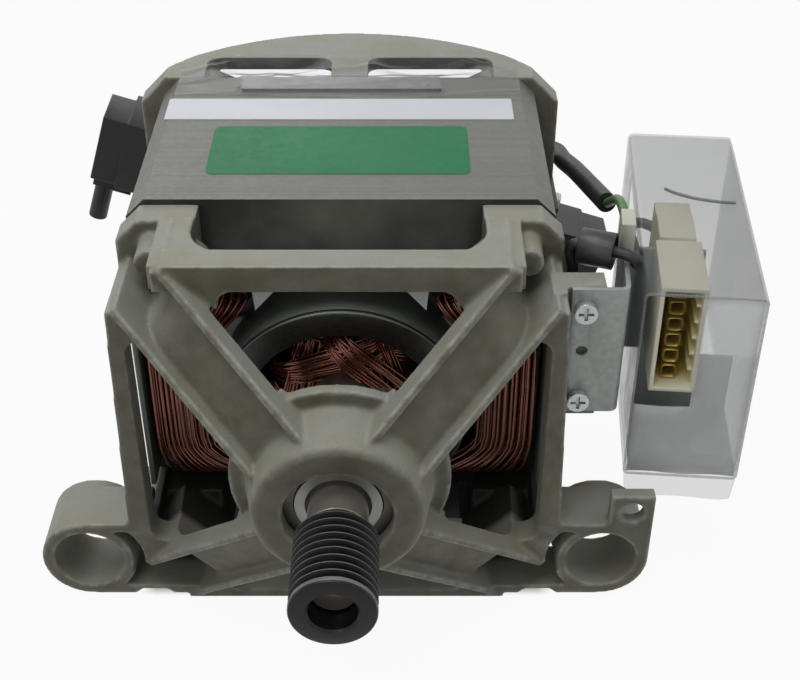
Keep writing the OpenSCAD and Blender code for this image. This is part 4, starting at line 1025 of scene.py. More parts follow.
@dataclass
class Castings:
    """Front and rear end shields with rounded edges."""

    voxel: float = 0.5 * MM
    passes: int = 5
    keep: float = 0.2
    post_in: float = 36.2
    post_out: float = 45.0
    fillet: Spot = (11.2, 10.4)
    bar_rear: float = 53.5
    corner_y: Spot = (47.5, 70.0)
    corner_z: Spot = (47.4, 54.3)
    lug: Spot = (70.3, -40.5)
    slot_r: Spot = (12.1, 15.2)
    slot_arc: tuple[float, float, float] = (-22.0, 57.0, 42.0)
    slot_y: Spot = (44.0, 55.0)
    notch: tuple[Spot, ...] = ((45.8, -56.0), (61.5, -56.0), (57.0, -51.9), (50.0, -51.9))
    notch_y: Spot = (44.0, 52.6)
    hub_r: float = 21.2
    rib_y: Spot = (23.0, 45.5)
    rib_end: float = 68.4
    arm_half: float = 9.7
    floor_back: float = 7.0
    roll: tuple[float, float, float] = (46.8, 52.1, 9.0)
    back_gap: float = 0.6
    back_deep: float = 6.0
    hub_rear_r: float = 23.3
    flange_r: float = 28.0
    flange_y: Spot = (32.8, 36.2)
    flange_steps: int = 96

    def build(self, shop: Workshop) -> None:
        """Rounds the two castings."""
        front, back = self.flange_y
        flange = [(self.hub_r, front), (self.flange_r, front), (self.flange_r, back), (self.hub_r, back)]
        added = [self._corner(shop, side) for side in (-1, 1)] + [shop.revolved(flange, self.flange_steps)]
        cuts = [shape for side in (-1, 1) for shape in (self._slot(shop, side), self._notch(shop, side))]
        cuts += [self._arm_back(angle) for angle in (45, 135, 225, 315)]
        for end, more, less in (("front", added, cuts), ("rear", [], [])):
            node = f"{end}_end_shield"
            cast = shop.softened(node, f"{end}_shield_cast", self.voxel, self.passes, self.keep, more, less)
            shop.place(cast, Body.STATOR, "cast_aluminium", "die cast", [node])

    def _corner(self, shop: Workshop, side: int) -> Shape:
        """Full top corner with its wide fillet into the top bar."""
        rx, ry = self.fillet
        cx, cy = self.post_in - rx, self.bar_rear + ry
        front, back = self.corner_y
        turns = [math.radians(a) for a in range(90, -1, -10)]
        outline = [(cx + rx * math.cos(a), cy - ry * math.sin(a)) for a in turns]
        outline += [(self.post_in, back), (self.post_out, back), (self.post_out, front), (cx, front)]
        return shop.prism([(side * x, y) for x, y in outline], *self.corner_z, "Z")

    def _arm_back(self, angle: float) -> Shape:
        """Hollow behind the floor of an arm, round to where the floor rolls over.

        Args:
            angle: Direction of the arm from the shaft, in degrees.

        Returns:
            Points in metres, and faces.
        """
        slope = (self.rib_y[1] - self.rib_y[0]) / (self.rib_end - self.hub_r)
        roll_out, roll_y, roll_r = self.roll
        start, deep, flange_back = self.flange_r + self.back_gap, roll_y + self.back_deep, self.flange_y[1]
        turn, steps = math.degrees(math.atan(slope)) - 90, 6
        turns = [math.radians(turn - turn * k / steps) for k in range(steps + 1)]
        outline = [(start, self.rib_y[0] + (start - self.hub_r) * slope + self.floor_back)]
        outline += [(roll_out + roll_r * math.cos(a), roll_y + roll_r * math.sin(a)) for a in turns]
        outline += [(roll_out + roll_r, deep), (self.hub_rear_r, deep), (self.hub_rear_r, flange_back),
                    (start, flange_back)]
        c, s = math.cos(math.radians(angle)), math.sin(math.radians(angle))
        points = [((out * c - across * s) * MM, y * MM, (out * s + across * c) * MM)
                  for across in (-self.arm_half, self.arm_half) for out, y in outline]
        return points, walls(len(outline))

    def _slot(self, shop: Workshop, side: int) -> Shape:
        """Curved slot between a lug tube and the frame."""
        (low, *tops), steps = self.slot_arc, 12
        outline: list[Spot] = []
        for r, top in zip(self.slot_r, tops):
            arc = [math.radians(low + (top - low) * k / steps) for k in range(steps + 1)]
            row = [(self.lug[0] - r * math.cos(a), self.lug[1] + r * math.sin(a)) for a in arc]
            outline += row[::-1] if outline else row
        return shop.prism([(side * x, z) for x, z in outline], *self.slot_y, "Y")

    def _notch(self, shop: Workshop, side: int) -> Shape:
        """Step in the lower flange between a lug and the arm's foot."""
        return shop.prism([(side * x, z) for x, z in self.notch], *self.notch_y, "Y")


@dataclass
class FieldCoil:
    """One field coil: layers of enamelled wire round a pole."""

    side: int
    turns: int = 13
    layers: int = 5
    points: int = 72
    wire: float = 0.92
    wire_sides: int = 5
    pitch: float = 1.05
    nesting: float = 0.9
    inner_x: float = 36.9
    half_y: float = 49.2
    half_z: float = 35.6
    squareness: float = 0.42
    mid_y: float = 113.3
    stack_half: float = 36.0
    lean: float = 11.0
    lean_all: float = 2.5
    lean_start: float = 0.4
    lean_rise: float = 0.5
    lean_gain: float = 2.2
    stray: float = 0.5
    wave: float = 0.45
    wave_turn: float = 6.28
    pull: float = 0.08
    core_inset: Spot = (4.6, 13.0)
    core_edge: float = 0.6
    seed: int = 11

    def _loose(self, y: float) -> float:
        """Share of an end turn that a wire is past the stack."""
        return max(0.0, abs(y) - self.stack_half) / (self.half_y - self.stack_half)

    def _leaning(self, y: float, z: float, out: float) -> float:
        """How far a wire of the end turns leans in towards the shaft.

        Args:
            y: Distance from the coil's middle along the shaft.
            z: Height.
            out: Place across the coil, from 0 at its inner face to 1.

        Returns:
            Distance in millimetres.
        """
        rise = min(1.0, max(0.0, (abs(z) / self.half_z - self.lean_start) / self.lean_rise))
        amount = (self.lean_all + self.lean * (1 - out)) * rise * rise * (3 - 2 * rise)
        return amount * min(1.0, self.lean_gain * self._loose(y))

    def _at(self, share: float, inset: float) -> Spot:
        """Place on a rounded rectangle, the share of the way round."""
        a, power = 2 * math.pi * share, self.squareness
        c, s = math.cos(a), math.sin(a)
        return (math.copysign(abs(c) ** power, c) * (self.half_y - inset),
                math.copysign(abs(s) ** power, s) * (self.half_z - inset))

    def build(self, shop: Workshop) -> None:
        """Winds the coil as one wire in layers, round a core in painted shade."""
        rand = random.Random(self.seed + self.side)
        chain: list[Point] = []
        for layer in range(self.layers):
            inset = self.wire / 2 + layer * self.pitch * self.nesting
            outwards = layer % 2 == 0
            for turn in range(self.turns):
                at = turn if outwards else self.turns - 1 - turn
                stray, phase = rand.uniform(-self.stray, self.stray), rand.uniform(0, self.wave_turn)
                for k in range(self.points):
                    share = k / self.points
                    y, z = self._at(share, inset)
                    loose = self._loose(y)
                    wave = math.sin(self.wave_turn * share + phase) * self.wave + stray
                    step = (share if outwards else -share) * self.pitch
                    lean = self._leaning(y, z, at / (self.turns - 1))
                    x = self.inner_x + self.wire / 2 + at * self.pitch + step + loose * wave - lean
                    pull = loose * rand.uniform(-self.pull, self.pull)
                    chain.append((self.side * x * MM, (self.mid_y + y + pull) * MM, z * MM))
        name = "right" if self.side > 0 else "left"
        piece = shop.wires(f"{name}_field_winding", [chain], self.wire * MM, self.wire_sides,
                           "enamelled copper")
        shop.place(piece, Body.STATOR, "enamelled_copper", nodes=[f"field_coil_{name}"])
        shop.place(self._core(shop, name), Body.STATOR, "enamelled_copper", "dark enamel")

    def _core(self, shop: Workshop, name: str) -> bpy.types.Object:
        """Inner layers of the coil as one solid ring, in painted shade."""
        points, faces = [], []
        low = self.inner_x + self.core_edge
        high = self.inner_x + self.turns * self.pitch - self.core_edge
        outer, inner = self.core_inset
        rows = ((outer, low, 0), (outer, high, 1), (inner, high, 1), (inner, low, 0))
        for row, (inset, x, out) in enumerate(rows):
            for k in range(self.points):
                y, z = self._at(k / self.points, inset)
                lean = self._leaning(y, z, out)
                points.append((self.side * (x - lean) * MM, (self.mid_y + y) * MM, z * MM))
            faces += around(self.points, row, (row + 1) % len(rows))
        return shop.outward(shop.piece(f"{name}_field_core", points, faces=faces))


@dataclass
class Armature:
    """Armature winding: bundles of wire that cross both ends of the core from slot to slot."""

    slots: int = 12
    span: int = 4
    across: int = 10
    layers: int = 2
    wire: float = 0.62
    wire_sides: int = 6
    slot_r: float = 21.5
    front_y: float = 75.4
    rear_y: float = 151.2
    rear_share: float = 0.72
    top_angle: float = 47.0
    coil_turn: float = 150.0
    low: float = 3.2
    high: float = 12.4
    bundle_step: float = 0.86
    bundle_stray: float = 0.5
    bundle_in: float = 1.6
    layer_drop: float = 0.7
    lift_stray: float = 0.6
    turn_stray: float = 0.07
    sag: float = 0.4
    pinch: float = 0.45
    steps: int = 12
    core: tuple[Spot, ...] = ((9.3, 70.0), (12.0, 68.6), (17.0, 69.0), (20.5, 71.0), (22.5, 73.6),
                              (22.5, 75.2), (9.3, 75.2))
    core_rear: float = 0.7
    core_steps: int = 48
    seed: int = 5

    def build(self, shop: Workshop) -> None:
        """Winds every coil, the last one on top, and adds the inner rings in painted shade."""
        rand = random.Random(self.seed)
        chains = []
        for order in range(self.slots):
            middle = math.radians(self.top_angle - self.coil_turn * (self.slots - 1 - order))
            rise = self.low + (self.high - self.low) * order / (self.slots - 1)
            chain: list[Point] = []
            for layer in range(self.layers):
                for k in range(self.across):
                    offset = (k - (self.across - 1) / 2) * self.bundle_step
                    offset += rand.uniform(-self.bundle_stray, self.bundle_stray)
                    lift = rise - layer * self.layer_drop + rand.uniform(-self.lift_stray, self.lift_stray)
                    chain += self._crossing(middle, offset, lift, self.front_y, -1, rand)
                    back = self._crossing(middle, offset, lift * self.rear_share, self.rear_y, 1, rand)
                    chain += back[::-1]
            chains.append(chain)
        piece = shop.wires("armature_wires", chains, self.wire * MM, self.wire_sides, "armature copper")
        shop.place(piece, Body.ROTOR, "enamelled_copper", nodes=["armature_winding"])
        rear = [(r, self.rear_y + (self.front_y - y) * self.core_rear) for r, y in self.core]
        for end, profile in (("front", self.core), ("rear", rear)):
            ring = shop.turned(f"armature_{end}_core", profile, self.core_steps)
            shop.place(ring, Body.ROTOR, "enamelled_copper", "dark enamel")

    def _crossing(self, middle: float, offset: float, rise: float, base_y: float, way: int,
                  rand: random.Random) -> list[Point]:
        """One crossing of a wire over an end of the core.

        Args:
            middle: Direction of the crossing's middle from the axis.
            offset: Place across the bundle, in millimetres.
            rise: Height over the end of the core.
            base_y: Y of the end of the core.
            way: Direction along the shaft, -1 or 1.
            rand: Seeded random numbers.

        Returns:
            Points in metres.
        """
        half = math.pi * self.span / self.slots
        near, reach = self.slot_r * math.cos(half) + self.bundle_in, self.slot_r * math.sin(half)
        middle += rand.uniform(-self.turn_stray, self.turn_stray)
        sag = rand.uniform(-self.sag, self.sag)
        c, s, out = math.cos(middle), math.sin(middle), []
        for k in range(self.steps + 1):
            u = 2 * k / self.steps - 1
            spread = offset * (1 - self.pinch * abs(u) ** 3)
            d, along = near + spread + sag * (1 - u * u), reach * u
            y = base_y + way * rise * (1 - abs(u) ** 5)
            out.append(((d * c - along * s) * MM, y * MM, (d * s + along * c) * MM))
        return out


@dataclass
class Pulley:
    """Belt pulley with rounded roots, and rubbed crests with painted highlights."""

    grooves: int = 9
    pitch: float = 2.34
    radius: float = 10.3
    depth: float = 1.9
    flank_angle: float = 20.0
    root_half: float = 0.34
    bore: float = 5.7
    collar: float = 1.6
    neck: float = 3.5
    steps: int = 128

    def build(self, shop: Workshop) -> None:
        """Turns the pulley."""
        half, r = self.grooves * self.pitch / 2, self.radius
        front, rear = -half - self.collar, half + self.neck
        profile = [(self.bore, front + 0.6), (self.bore + 0.6, front), (r - 0.7, front),
                   (r - 0.2, front + 0.2), (r, front + 0.7)]
        for k in range(self.grooves):
            profile += self._groove(-half + (k + 0.5) * self.pitch)
        profile += [(r, half), (r - 0.3, half + 0.3), (8.2, rear - 0.9), (7.9, rear - 0.3), (7.6, rear),
                    (self.bore, rear)]
        shop.place(shop.turned("belt_pulley", profile, self.steps), Body.ROTOR, "black_steel",
                   "blackened steel", ["drive_pulley"])

    def _groove(self, mid: float) -> list[Spot]:
        """Radius and Y of one groove round its middle."""
        flank = self.root_half + self.depth * math.tan(math.radians(self.flank_angle))
        r, root = self.radius, self.radius - self.depth
        return [(r, mid - flank), (r - 0.12, mid - flank + 0.07), (root + 0.15, mid - 0.26),
                (root, mid - 0.14), (root, mid + 0.14), (root + 0.15, mid + 0.26),
                (r - 0.12, mid + flank - 0.07), (r, mid + flank)]


@dataclass
class Tape:
    """Wrinkled clear tape over the rear edge of the stack and the rear plate's windows."""

    top: float = 55.0
    wide: int = 96
    deep: int = 48
    half: float = 50.0
    front: float = 136.0
    back: float = 164.0
    ragged: float = 1.2
    plate_r: float = 75.3
    plate_back: float = 172.0
    plate_half: float = 48.0
    window_x: Spot = (7.0, 42.0)
    window_y: Spot = (150.5, 162.5)
    window_sag: float = 2.6
    strip_x: Spot = (-32.0, 28.0)
    strip_y: Spot = (139.0, 148.6)
    strip_lift: float = 0.8
    lift: float = 0.3
    fold: float = 0.5

    def build(self, shop: Workshop) -> None:
        """Lays the tape."""
        points = [self._point(i / self.wide, j / self.deep)
                  for j in range(self.deep + 1) for i in range(self.wide + 1)]
        tape = shop.piece("clear_tape", points, faces=grid(self.wide, self.deep))
        shop.place(shop.smoothed(tape), Body.STATOR, "film", "clear tape")

    def _point(self, u: float, v: float) -> Point:
        """Place of a point of the tape.

        Args:
            u: Share of the way across.
            v: Share of the way back.

        Returns:
            The place in metres.
        """
        x = -self.half + 2 * self.half * u + self.ragged * math.sin(9 * v + 1.0) * (1 - abs(2 * u - 1))
        bow = math.sqrt(self.plate_r ** 2 - min(abs(x), self.plate_half) ** 2)
        edge = self.plate_back - self.plate_r + bow
        first = self.front + self.ragged * math.sin(7.0 * u + 0.6)
        y = first + (min(self.back, edge) - first) * v
        long_fold = max(0.0, math.sin(3.1 * u * 6 + 5 * v)) ** 3
        short_fold = max(0.0, math.sin(15 * v - 9 * u + 2)) ** 5
        z = self.top + self.lift + self.fold * (long_fold + short_fold) * (0.35 + v) - self._sag(x, y)
        if self.strip_x[0] < x < self.strip_x[1] and self.strip_y[0] < y < self.strip_y[1]:
            z += self.strip_lift
        return (x * MM, y * MM, z * MM)

    def _sag(self, x: float, y: float) -> float:
        """How far the tape sags into a window, in millimetres."""
        (left, right), (front, back) = self.window_x, self.window_y
        if not (front < y < back and left < abs(x) < right):
            return 0.0
        along = math.sin(math.pi * (y - front) / (back - front))
        return self.window_sag * along * math.sin(math.pi * (abs(x) - left) / (right - left))


@dataclass
class Labels:
    """Bare labels, a steel strip and clear tape on top of the stack, and the slot sheets' corners."""

    top: float = 55.0
    lift: float = 0.02
    corner_steps: int = 6
    flap: tuple[Spot, ...] = ((22.6, 39.5), (14.4, 39.5), (21.8, 31.0))
    flap_y: Spot = (62.6, 63.1)

    def build(self, shop: Workshop) -> None:
        """Lays the labels and the tape."""
        self._label(shop, "green_label", (-36.0, 90.4), (33.6, 117.6), 2.2, 0.12, "green label")
        self._label(shop, "white_label", (-51.0, 121.8), (47.0, 134.8), 0.4, 0.12, "white label")
        self._label(shop, "steel_strip", (-31.0, 139.8), (27.0, 147.8), 0.5, 0.9, "dark strip")
        Tape(self.top).build(shop)
        self._flaps(shop)

    def _label(self, shop: Workshop, name: str, low: Spot, high: Spot, corner: float, thick: float,
               finish: str) -> None:
        """One flat label with rounded corners."""
        outline = rounded(low, high, corner, self.corner_steps)
        shape = shop.prism(outline, self.top + self.lift, self.top + thick, "Z")
        shop.place(shop.gathered(name, [shape]), Body.STATOR, "insulation", finish)

    def _flaps(self, shop: Workshop) -> None:
        """Corners of the slot sheets, folded down in front of the coils."""
        flaps = [shop.prism([(side * x, z) for x, z in self.flap], *self.flap_y, "Y") for side in (-1, 1)]
        shop.place(shop.gathered("sheet_flaps", flaps), Body.STATOR, "insulation", "white paper")


@dataclass
class PlugGroup:
    """Contacts of the connector and its clear film cover."""

    contacts: int = 6
    pitch: float = 5.0
    contact_x: float = 13.2
    contact_low: float = 11.4
    contact_front: float = 10.0
    contact_len: float = 15.0
    film: float = 0.6
    haze: float = 0.2
    left: float = 3.9
    right: float = 33.8
    low: float = -17.6
    high: float = 40.6
    front: float = 2.0
    back: float = 87.7
    fold: float = 1.2
    slot: tuple[float, float, float, float] = (28.5, 68.0, 4.5, 37.5)
    touch: float = 0.01
    mouth: Spot = (18.8, 5.6)
    mouth_inset: float = 0.5
    mouth_wave: float = 0.3
    flap: float = 8.0
    flap_steps: int = 12
    rim_d: float = 0.7 * MM
    crease_d: float = 0.9 * MM
    trim_sides: int = 6

    def build(self, shop: Workshop) -> None:
        """Makes the contacts and the cover."""
        self._contacts(shop)
        self._cover(shop)
        self._mouth(shop)
        self._crease(shop)

    @staticmethod
    def _square(half: float, corner: float, y: float) -> list[Point]:
        """Rounded square round the Y axis, in metres."""
        return [(x * MM, y * MM, z * MM) for x, z in rounded((-half, -half), (half, half), corner, 4)]

    def _contacts(self, shop: Workshop) -> None:
        """Six box contacts with rolled mouths, copied up the cavity."""
        rings = [self._square(*ring) for ring in (
            (1.2, 0.7, self.contact_len - 2), (1.35, 0.75, 1.2), (1.62, 0.9, 0.25), (1.85, 1.0, 0.0),
            (2.1, 1.1, 0.25), (2.2, 1.1, 1.0), (2.2, 1.1, self.contact_len))]
        count = len(rings[0])
        points = [p for ring in rings for p in ring]
        faces = [tuple(range(count)), tuple(reversed(range(len(points) - count, len(points))))]
        for row in range(len(rings) - 1):
            faces += around(count, row, row + 1)
        pattern = shop.outward(shop.piece("contact_pattern", points, faces=faces))
        pattern.data.set_sharp_from_angle(angle=math.radians(40))
        places = [in_group(self.contact_x, self.contact_front, self.contact_low + k * self.pitch)
                  for k in range(self.contacts)]
        piece = shop.grow(shop.piece("box_contacts", places), shop.copy_tree, Pattern=pattern,
                          Turn=(0.0, 0.0, -math.radians(GROUP_TURN)), Finish=shop.finishes["tarnished brass"])
        bpy.data.objects.remove(pattern)
        shop.place(piece, Body.STATOR, "contact_brass", nodes=["connector_contacts"])

    def _ring(self) -> list[Spot]:
        """Outline of the cover across its length, with rounded folds and the slot's two edges."""
        steps = 4
        ring = rounded((self.left, self.low), (self.right, self.high), self.fold, steps)
        after_top = 2 * (steps + 1)
        return ring[:after_top] + [(self.left, self.slot[3]), (self.left, self.slot[2])] + ring[after_top:]

    def _in_slot(self, a: Spot, b: Spot, y: float) -> bool:
        """Whether a face of the cover, between two points of its outline, lies in the slot."""
        start, end, bottom, top = self.slot
        on_side = abs(a[0] - self.left) + abs(b[0] - self.left) < self.touch
        in_height = min(a[1], b[1]) > bottom - self.touch and max(a[1], b[1]) < top + self.touch
        return on_side and in_height and start - self.touch < y < end - self.touch

    def _cover(self, shop: Workshop) -> None:
        """Film box, open in front, with a slot for the leads and a flap under its mouth."""
        ring = self._ring()
        depths = [self.front, 8, 16, self.slot[0], 41, 54, self.slot[1], 78, self.back]
        points = [in_group(x, y, z) for y in depths for x, z in ring]
        count, faces = len(ring), []
        for row, depth in enumerate(depths[:-1]):
            faces += [face for k, face in enumerate(around(count, row, row + 1))
                      if not self._in_slot(ring[k], ring[(k + 1) % count], depth)]
        faces.append(tuple(range(len(points) - count, len(points))))
        drops = (0.3, 3.0, 6.0, self.flap)
        faces += grid(self.flap_steps, len(drops) - 1, len(points))
        for j, drop in enumerate(drops):
            for i in range(self.flap_steps + 1):
                u = 2 * i / self.flap_steps - 1
                round_off = 1.0 if drop < self.flap else 1 - 0.12 * abs(u) ** 6
                x = (self.left + self.right) / 2 + u * (self.right - self.left) / 2 * (1 - 0.02 * j)
                points.append(in_group(x, self.front + 0.3 + 0.25 * j * math.cos(2.2 * u),
                                       self.low - drop * round_off))
        piece = shop.smoothed(shop.outward(shop.piece("film_cover", points, faces=faces)))
        shop.thickened(piece, self.film)
        piece.data.set_sharp_from_angle(angle=math.radians(35))
        shop.place(piece, Body.STATOR, "film", "clear film", ["connector_cover"])
        # Rolled rim of the film, paler than the film: a painted highlight.
        rim = [in_group(x, self.front, z) for x, z in ring]
        edge = shop.wires("film_rim", [rim + rim[:1]], self.rim_d, self.trim_sides, "film rim")
        shop.place(edge, Body.STATOR, "film")

    def _mouth(self, shop: Workshop) -> None:
        """Hazy front of the film, open where the housing comes through."""
        inset, (side, sill) = self.mouth_inset, self.mouth
        left, right, low, high = self.left + inset, self.right - inset, self.low + inset, self.high - inset
        across = [left + (side - left) * k / 4 for k in range(4)]
        across += [side + (right - side) * k / 4 for k in range(5)]
        up = [low + (sill - low) * k / 4 for k in range(4)]
        up += [sill + (high - sill) * k / 8 for k in range(9)]
        points = [in_group(x, self.front + inset + self.mouth_wave * math.sin(0.35 * x + 0.12 * z), z)
                  for z in up for x in across]
        faces = []
        for face in grid(len(across) - 1, len(up) - 1):
            row, column = divmod(face[0], len(across))
            if across[column] >= side or up[row + 1] <= sill:
                faces.append(face)
        sheet = shop.piece("film_front", points, faces=faces)
        with opened(sheet.data) as work:
            bmesh.ops.delete(work, geom=[v for v in work.verts if not v.link_faces], context="VERTS")
        shop.place(shop.thickened(shop.smoothed(sheet), self.haze), Body.STATOR, "film", "hazy film")

    def _crease(self, shop: Workshop) -> None:
        """Dark crease in the top of the film."""
        route = smooth_route(((88.5, 107.6, 41.0), (91, 105.2, 41.0), (96, 102.2, 41.0), (102, 100.3, 41.0),
                              (106.6, 99.8, 41.0)), 6)
        crease = shop.wires("film_crease", [route], self.crease_d, self.trim_sides, "creased film")
        shop.place(crease, Body.STATOR, "film")


@dataclass
class Mouldings:
    """Plastic and sheet pieces whose edges are eased."""

    lip: tuple[Spot, ...] = ((25.8, 60.2), (25.8, 58.9), (26.2, 58.6), (31.9, 58.5), (32.7, 58.7),
                             (33.1, 59.3), (33.1, 60.2))
    panel_cut: tuple[Spot, ...] = ((21.6, 28.0), (35.0, 28.0), (35.0, 31.4), (21.6, 31.4))
    panel_z: Spot = (3.0, 39.0)
    panel_edge: float = 0.25 * MM

    def build(self, shop: Workshop) -> None:
        """Eases and dresses every small piece."""
        # Painted shade: the lip's front face is a darker copy of the former plastic.
        shop.place(shop.turned("former_lip", self.lip), Body.STATOR, "former_plastic", "former face")
        cut = [tuple(in_group(x, y, z)) for z in self.panel_z for x, y in self.panel_cut]
        bracket = shop.eased("connector_bracket", "connector_bracket_eased", self.panel_edge,
                             cuts=[(cut, walls(len(self.panel_cut)))])
        shop.place(bracket, Body.STATOR, "zinc_steel", "zinc plate", ["connector_bracket"])
        for node, width, slot, finish in (
                ("coil_former_front", 0.5, "former_plastic", "former plastic"),
                ("coil_former_rear", 0.4, "former_plastic", "former plastic"),
                ("left_brush_holder", 0.5, "black_plastic", "black plastic"),
                ("right_brush_holder", 0.5, "black_plastic", "black plastic"),
                ("left_lead_boot", 0.6, "black_plastic", "black plastic"),
                ("left_brush_terminal", 0.25, "cream_plastic", "cream plastic"),
                ("earth_terminal", 0.5, "cream_plastic", "clear boot"),
                ("connector_housing", 0.25, "cream_plastic", "connector nylon"),
                ("bracket_screws", 0.25, "zinc_steel", "bright zinc"),
                ("tacho_cover", 0.4, "black_plastic", "black plastic")):
            shop.place(shop.eased(node, node + "_eased", width * MM), Body.STATOR, slot, finish, [node])


CAD_FINISHES = {
    "stator_core": "lamination stack", "insulation_sheets": "white paper", "through_bolts": "bright zinc",
    "front_bearing_outer_ring": "ring steel", "front_bearing_inner_ring": "ring steel",
    "front_bearing_shields": "dull steel", "front_bearing_balls": "ground steel",
    "front_bearing_cage": "pressed brass", "rear_bearing_outer_ring": "ground steel",
    "rear_bearing_inner_ring": "ground steel", "rear_bearing_shields": "dull steel",
    "rear_bearing_balls": "ground steel", "rear_bearing_cage": "pressed brass", "rotor_shaft": "oily steel",
    "rotor_core": "lamination stack", "armature_end_discs": "pressed board", "commutator_hub": "brown resin",
    "commutator_bars": "bare copper", "tacho_magnet": "dark magnet", "tacho_coil": "dark enamel",
    "left_brush_tube": "pressed brass", "right_brush_tube": "pressed brass", "left_carbon_brush": "carbon",
    "right_carbon_brush": "carbon", "left_brush_spring": "ground steel", "right_brush_spring": "ground steel",
    "brush_holder_screws": "bright zinc",
}


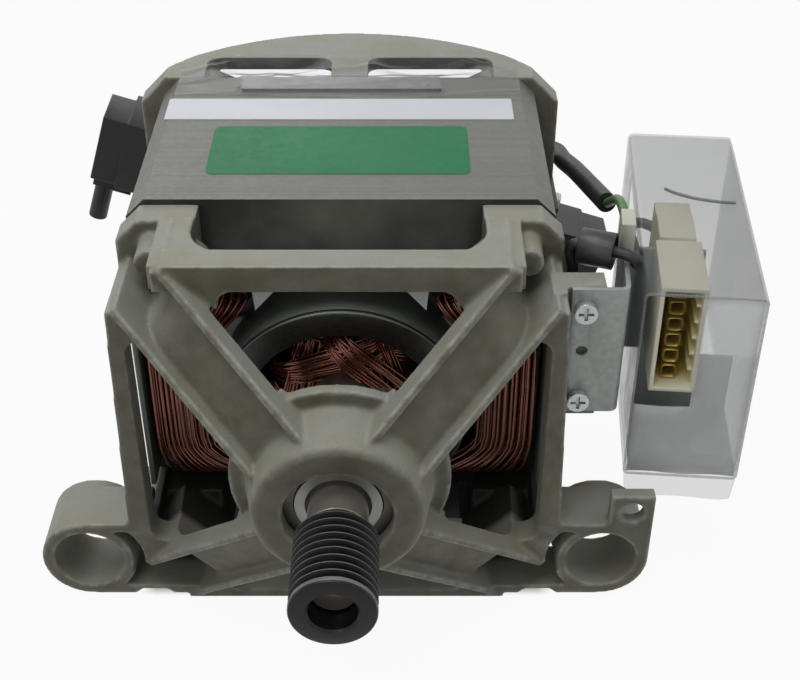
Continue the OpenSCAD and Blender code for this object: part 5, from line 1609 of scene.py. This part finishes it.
def make_finishes() -> dict[str, bpy.types.Material]:
    """Builds every finish.

    Returns:
        Materials by finish name.
    """
    effects = Effects()
    finishes = (
        Finish("die cast", srgb(140, 143, 136), srgb(131, 121, 91),
               Pattern.CAST, 0.1, 0.58, 1400, 0.35, 0.5, gloss=0.4),
        Finish("lamination stack", srgb(113, 113, 108), srgb(100, 99, 94),
               Pattern.SHEETS, 0.2, 0.5, 700, 0.25),
        Finish("enamelled copper", srgb(150, 88, 70), srgb(96, 50, 38),
               Pattern.WIRE, 0.6, 0.26, 500, 0.02, 0.8, coat=0.5),
        Finish("armature copper", srgb(166, 98, 76), srgb(78, 36, 27),
               Pattern.WIRE, 0.65, 0.22, 900, 0.02, 0.9, coat=0.6),
        # Copper in painted shade, for windings hidden inside.
        Finish("dark enamel", srgb(22, 12, 10), srgb(14, 9, 8), Pattern.GRAIN, 0.0, 0.6, 800, 0.2, gloss=0.2),
        # Lit and shaded copies of the former plastic: painted light on the first, painted shade on the
        # second.
        Finish("former plastic", srgb(104, 111, 105), srgb(84, 90, 85), Pattern.GRAIN, 0.0, 0.33, 1200, 0.12),
        Finish("former face", srgb(30, 28, 25), srgb(22, 19, 17), Pattern.GRAIN, 0.0, 0.4, 900, 0.15),
        Finish("black plastic", srgb(18, 18, 19), srgb(13, 13, 14),
               Pattern.GRAIN, 0.0, 0.42, 1600, 0.2, gloss=0.3),
        Finish("black rubber", srgb(24, 24, 25), srgb(18, 18, 19), Pattern.GRAIN, 0.0, 0.5, 900, 0.15),
        Finish("shrink sleeve", srgb(20, 20, 21), srgb(27, 27, 28), Pattern.GRAIN, 0.0, 0.4, 700, 0.15),
        Finish("green wire", srgb(70, 108, 54), srgb(48, 80, 40), Pattern.GRAIN, 0.0, 0.45, 900, 0.1),
        Finish("zinc plate", srgb(146, 153, 149), srgb(130, 137, 133),
               Pattern.PLATED, 0.3, 0.42, 260, 0.06, 0.8),
        Finish("bright zinc", srgb(178, 182, 182), srgb(148, 152, 153), Pattern.PLATED, 0.7, 0.3, 500, 0.05),
        Finish("dark strip", srgb(116, 117, 115), srgb(96, 97, 95), Pattern.PLATED, 0.3, 0.34, 400, 0.05),
        Finish("ground steel", srgb(160, 160, 157), srgb(126, 126, 123), Pattern.GRAIN, 0.85, 0.3, 900, 0.04),
        Finish("ring steel", srgb(146, 148, 144), srgb(112, 112, 108), Pattern.GRAIN, 0.6, 0.36, 900, 0.04),
        Finish("oily steel", srgb(150, 144, 136), srgb(86, 74, 66), Pattern.GRAIN, 0.45, 0.2, 260, 0.03),
        Finish("dull steel", srgb(92, 91, 86), srgb(66, 63, 58), Pattern.GRAIN, 0.5, 0.45, 700, 0.08),
        # Pale second colour: rubbed crests with painted highlights.
        Finish("blackened steel", srgb(19, 19, 20), srgb(118, 120, 121), Pattern.TURNED, 0.2, 0.36, 500, 0.05,
               inner=0.01027, outer=0.0103, gloss=0.3),
        Finish("pressed brass", srgb(150, 126, 70), srgb(112, 92, 50), Pattern.GRAIN, 0.85, 0.36, 700, 0.06),
        Finish("tarnished brass", srgb(178, 154, 86), srgb(126, 106, 58),
               Pattern.GRAIN, 0.6, 0.36, 500, 0.06, 0.8),
        Finish("bare copper", srgb(190, 118, 78), srgb(140, 78, 48), Pattern.GRAIN, 0.9, 0.32, 700, 0.05),
        Finish("pressed board", srgb(120, 108, 78), srgb(96, 86, 60), Pattern.GRAIN, 0.0, 0.6, 900, 0.15),
        Finish("brown resin", srgb(92, 60, 38), srgb(70, 44, 28), Pattern.GRAIN, 0.0, 0.5, 900, 0.12),
        Finish("dark magnet", srgb(54, 54, 56), srgb(40, 40, 42), Pattern.GRAIN, 0.3, 0.5, 900, 0.15),
        Finish("carbon", srgb(52, 52, 54), srgb(36, 36, 38), Pattern.GRAIN, 0.1, 0.55, 1200, 0.2),
        Finish("white paper", srgb(226, 230, 232), srgb(208, 212, 214), Pattern.PAPER, 0.0, 0.7, 900, 0.1),
        Finish("cream plastic", srgb(214, 211, 192), srgb(200, 195, 168),
               Pattern.GRAIN, 0.0, 0.42, 800, 0.06),
        Finish("connector nylon", srgb(238, 235, 214), srgb(228, 222, 190),
               Pattern.CAVITY, 0.0, 0.42, 800, 0.06),
        Finish("clear boot", srgb(198, 198, 184), srgb(176, 180, 160), Pattern.GRAIN, 0.0, 0.35, 700, 0.08),
        Finish("clear film", srgb(118, 121, 123), srgb(108, 111, 113),
               Pattern.FILM, 0.0, 0.2, 120, 0.05, alpha=0.165),
        # Rolled film rim, paler than the film: a painted highlight.
        Finish("film rim", srgb(170, 174, 176), srgb(150, 154, 156),
               Pattern.FILM, 0.0, 0.25, 200, 0.05, alpha=0.24),
        Finish("creased film", srgb(112, 115, 118), srgb(96, 99, 102),
               Pattern.FILM, 0.0, 0.3, 200, 0.05, alpha=0.6),
        Finish("clear tape", srgb(140, 142, 142), srgb(124, 126, 126),
               Pattern.FILM, 0.0, 0.14, 120, 0.04, alpha=0.15),
        Finish("hazy film", srgb(248, 250, 251), srgb(236, 239, 241),
               Pattern.FILM, 0.0, 0.3, 120, 0.05, alpha=0.34),
        Finish("green label", srgb(32, 116, 74), srgb(28, 104, 66),
               Pattern.GRAIN, 0.0, 0.45, 500, 0.06, gloss=0.15),
        Finish("white label", srgb(210, 213, 218), srgb(198, 202, 208),
               Pattern.GRAIN, 0.0, 0.45, 500, 0.06, gloss=0.3),
    )
    return {finish.name: finish.material(effects) for finish in finishes}


def main() -> None:
    """Builds the scene in order."""
    logging.basicConfig(level=logging.INFO, format="%(name)s: %(message)s")
    shop = Workshop(make_finishes())
    Studio().build()
    Leads().build(shop)
    Castings().build(shop)
    for side in (-1, 1):
        FieldCoil(side).build(shop)
    Armature().build(shop)
    Pulley().build(shop)
    PlugGroup().build(shop)
    Mouldings().build(shop)
    Labels().build(shop)
    for node, finish in CAD_FINISHES.items():
        shop.dress(node, finish)


if __name__ == "__main__":
    main()
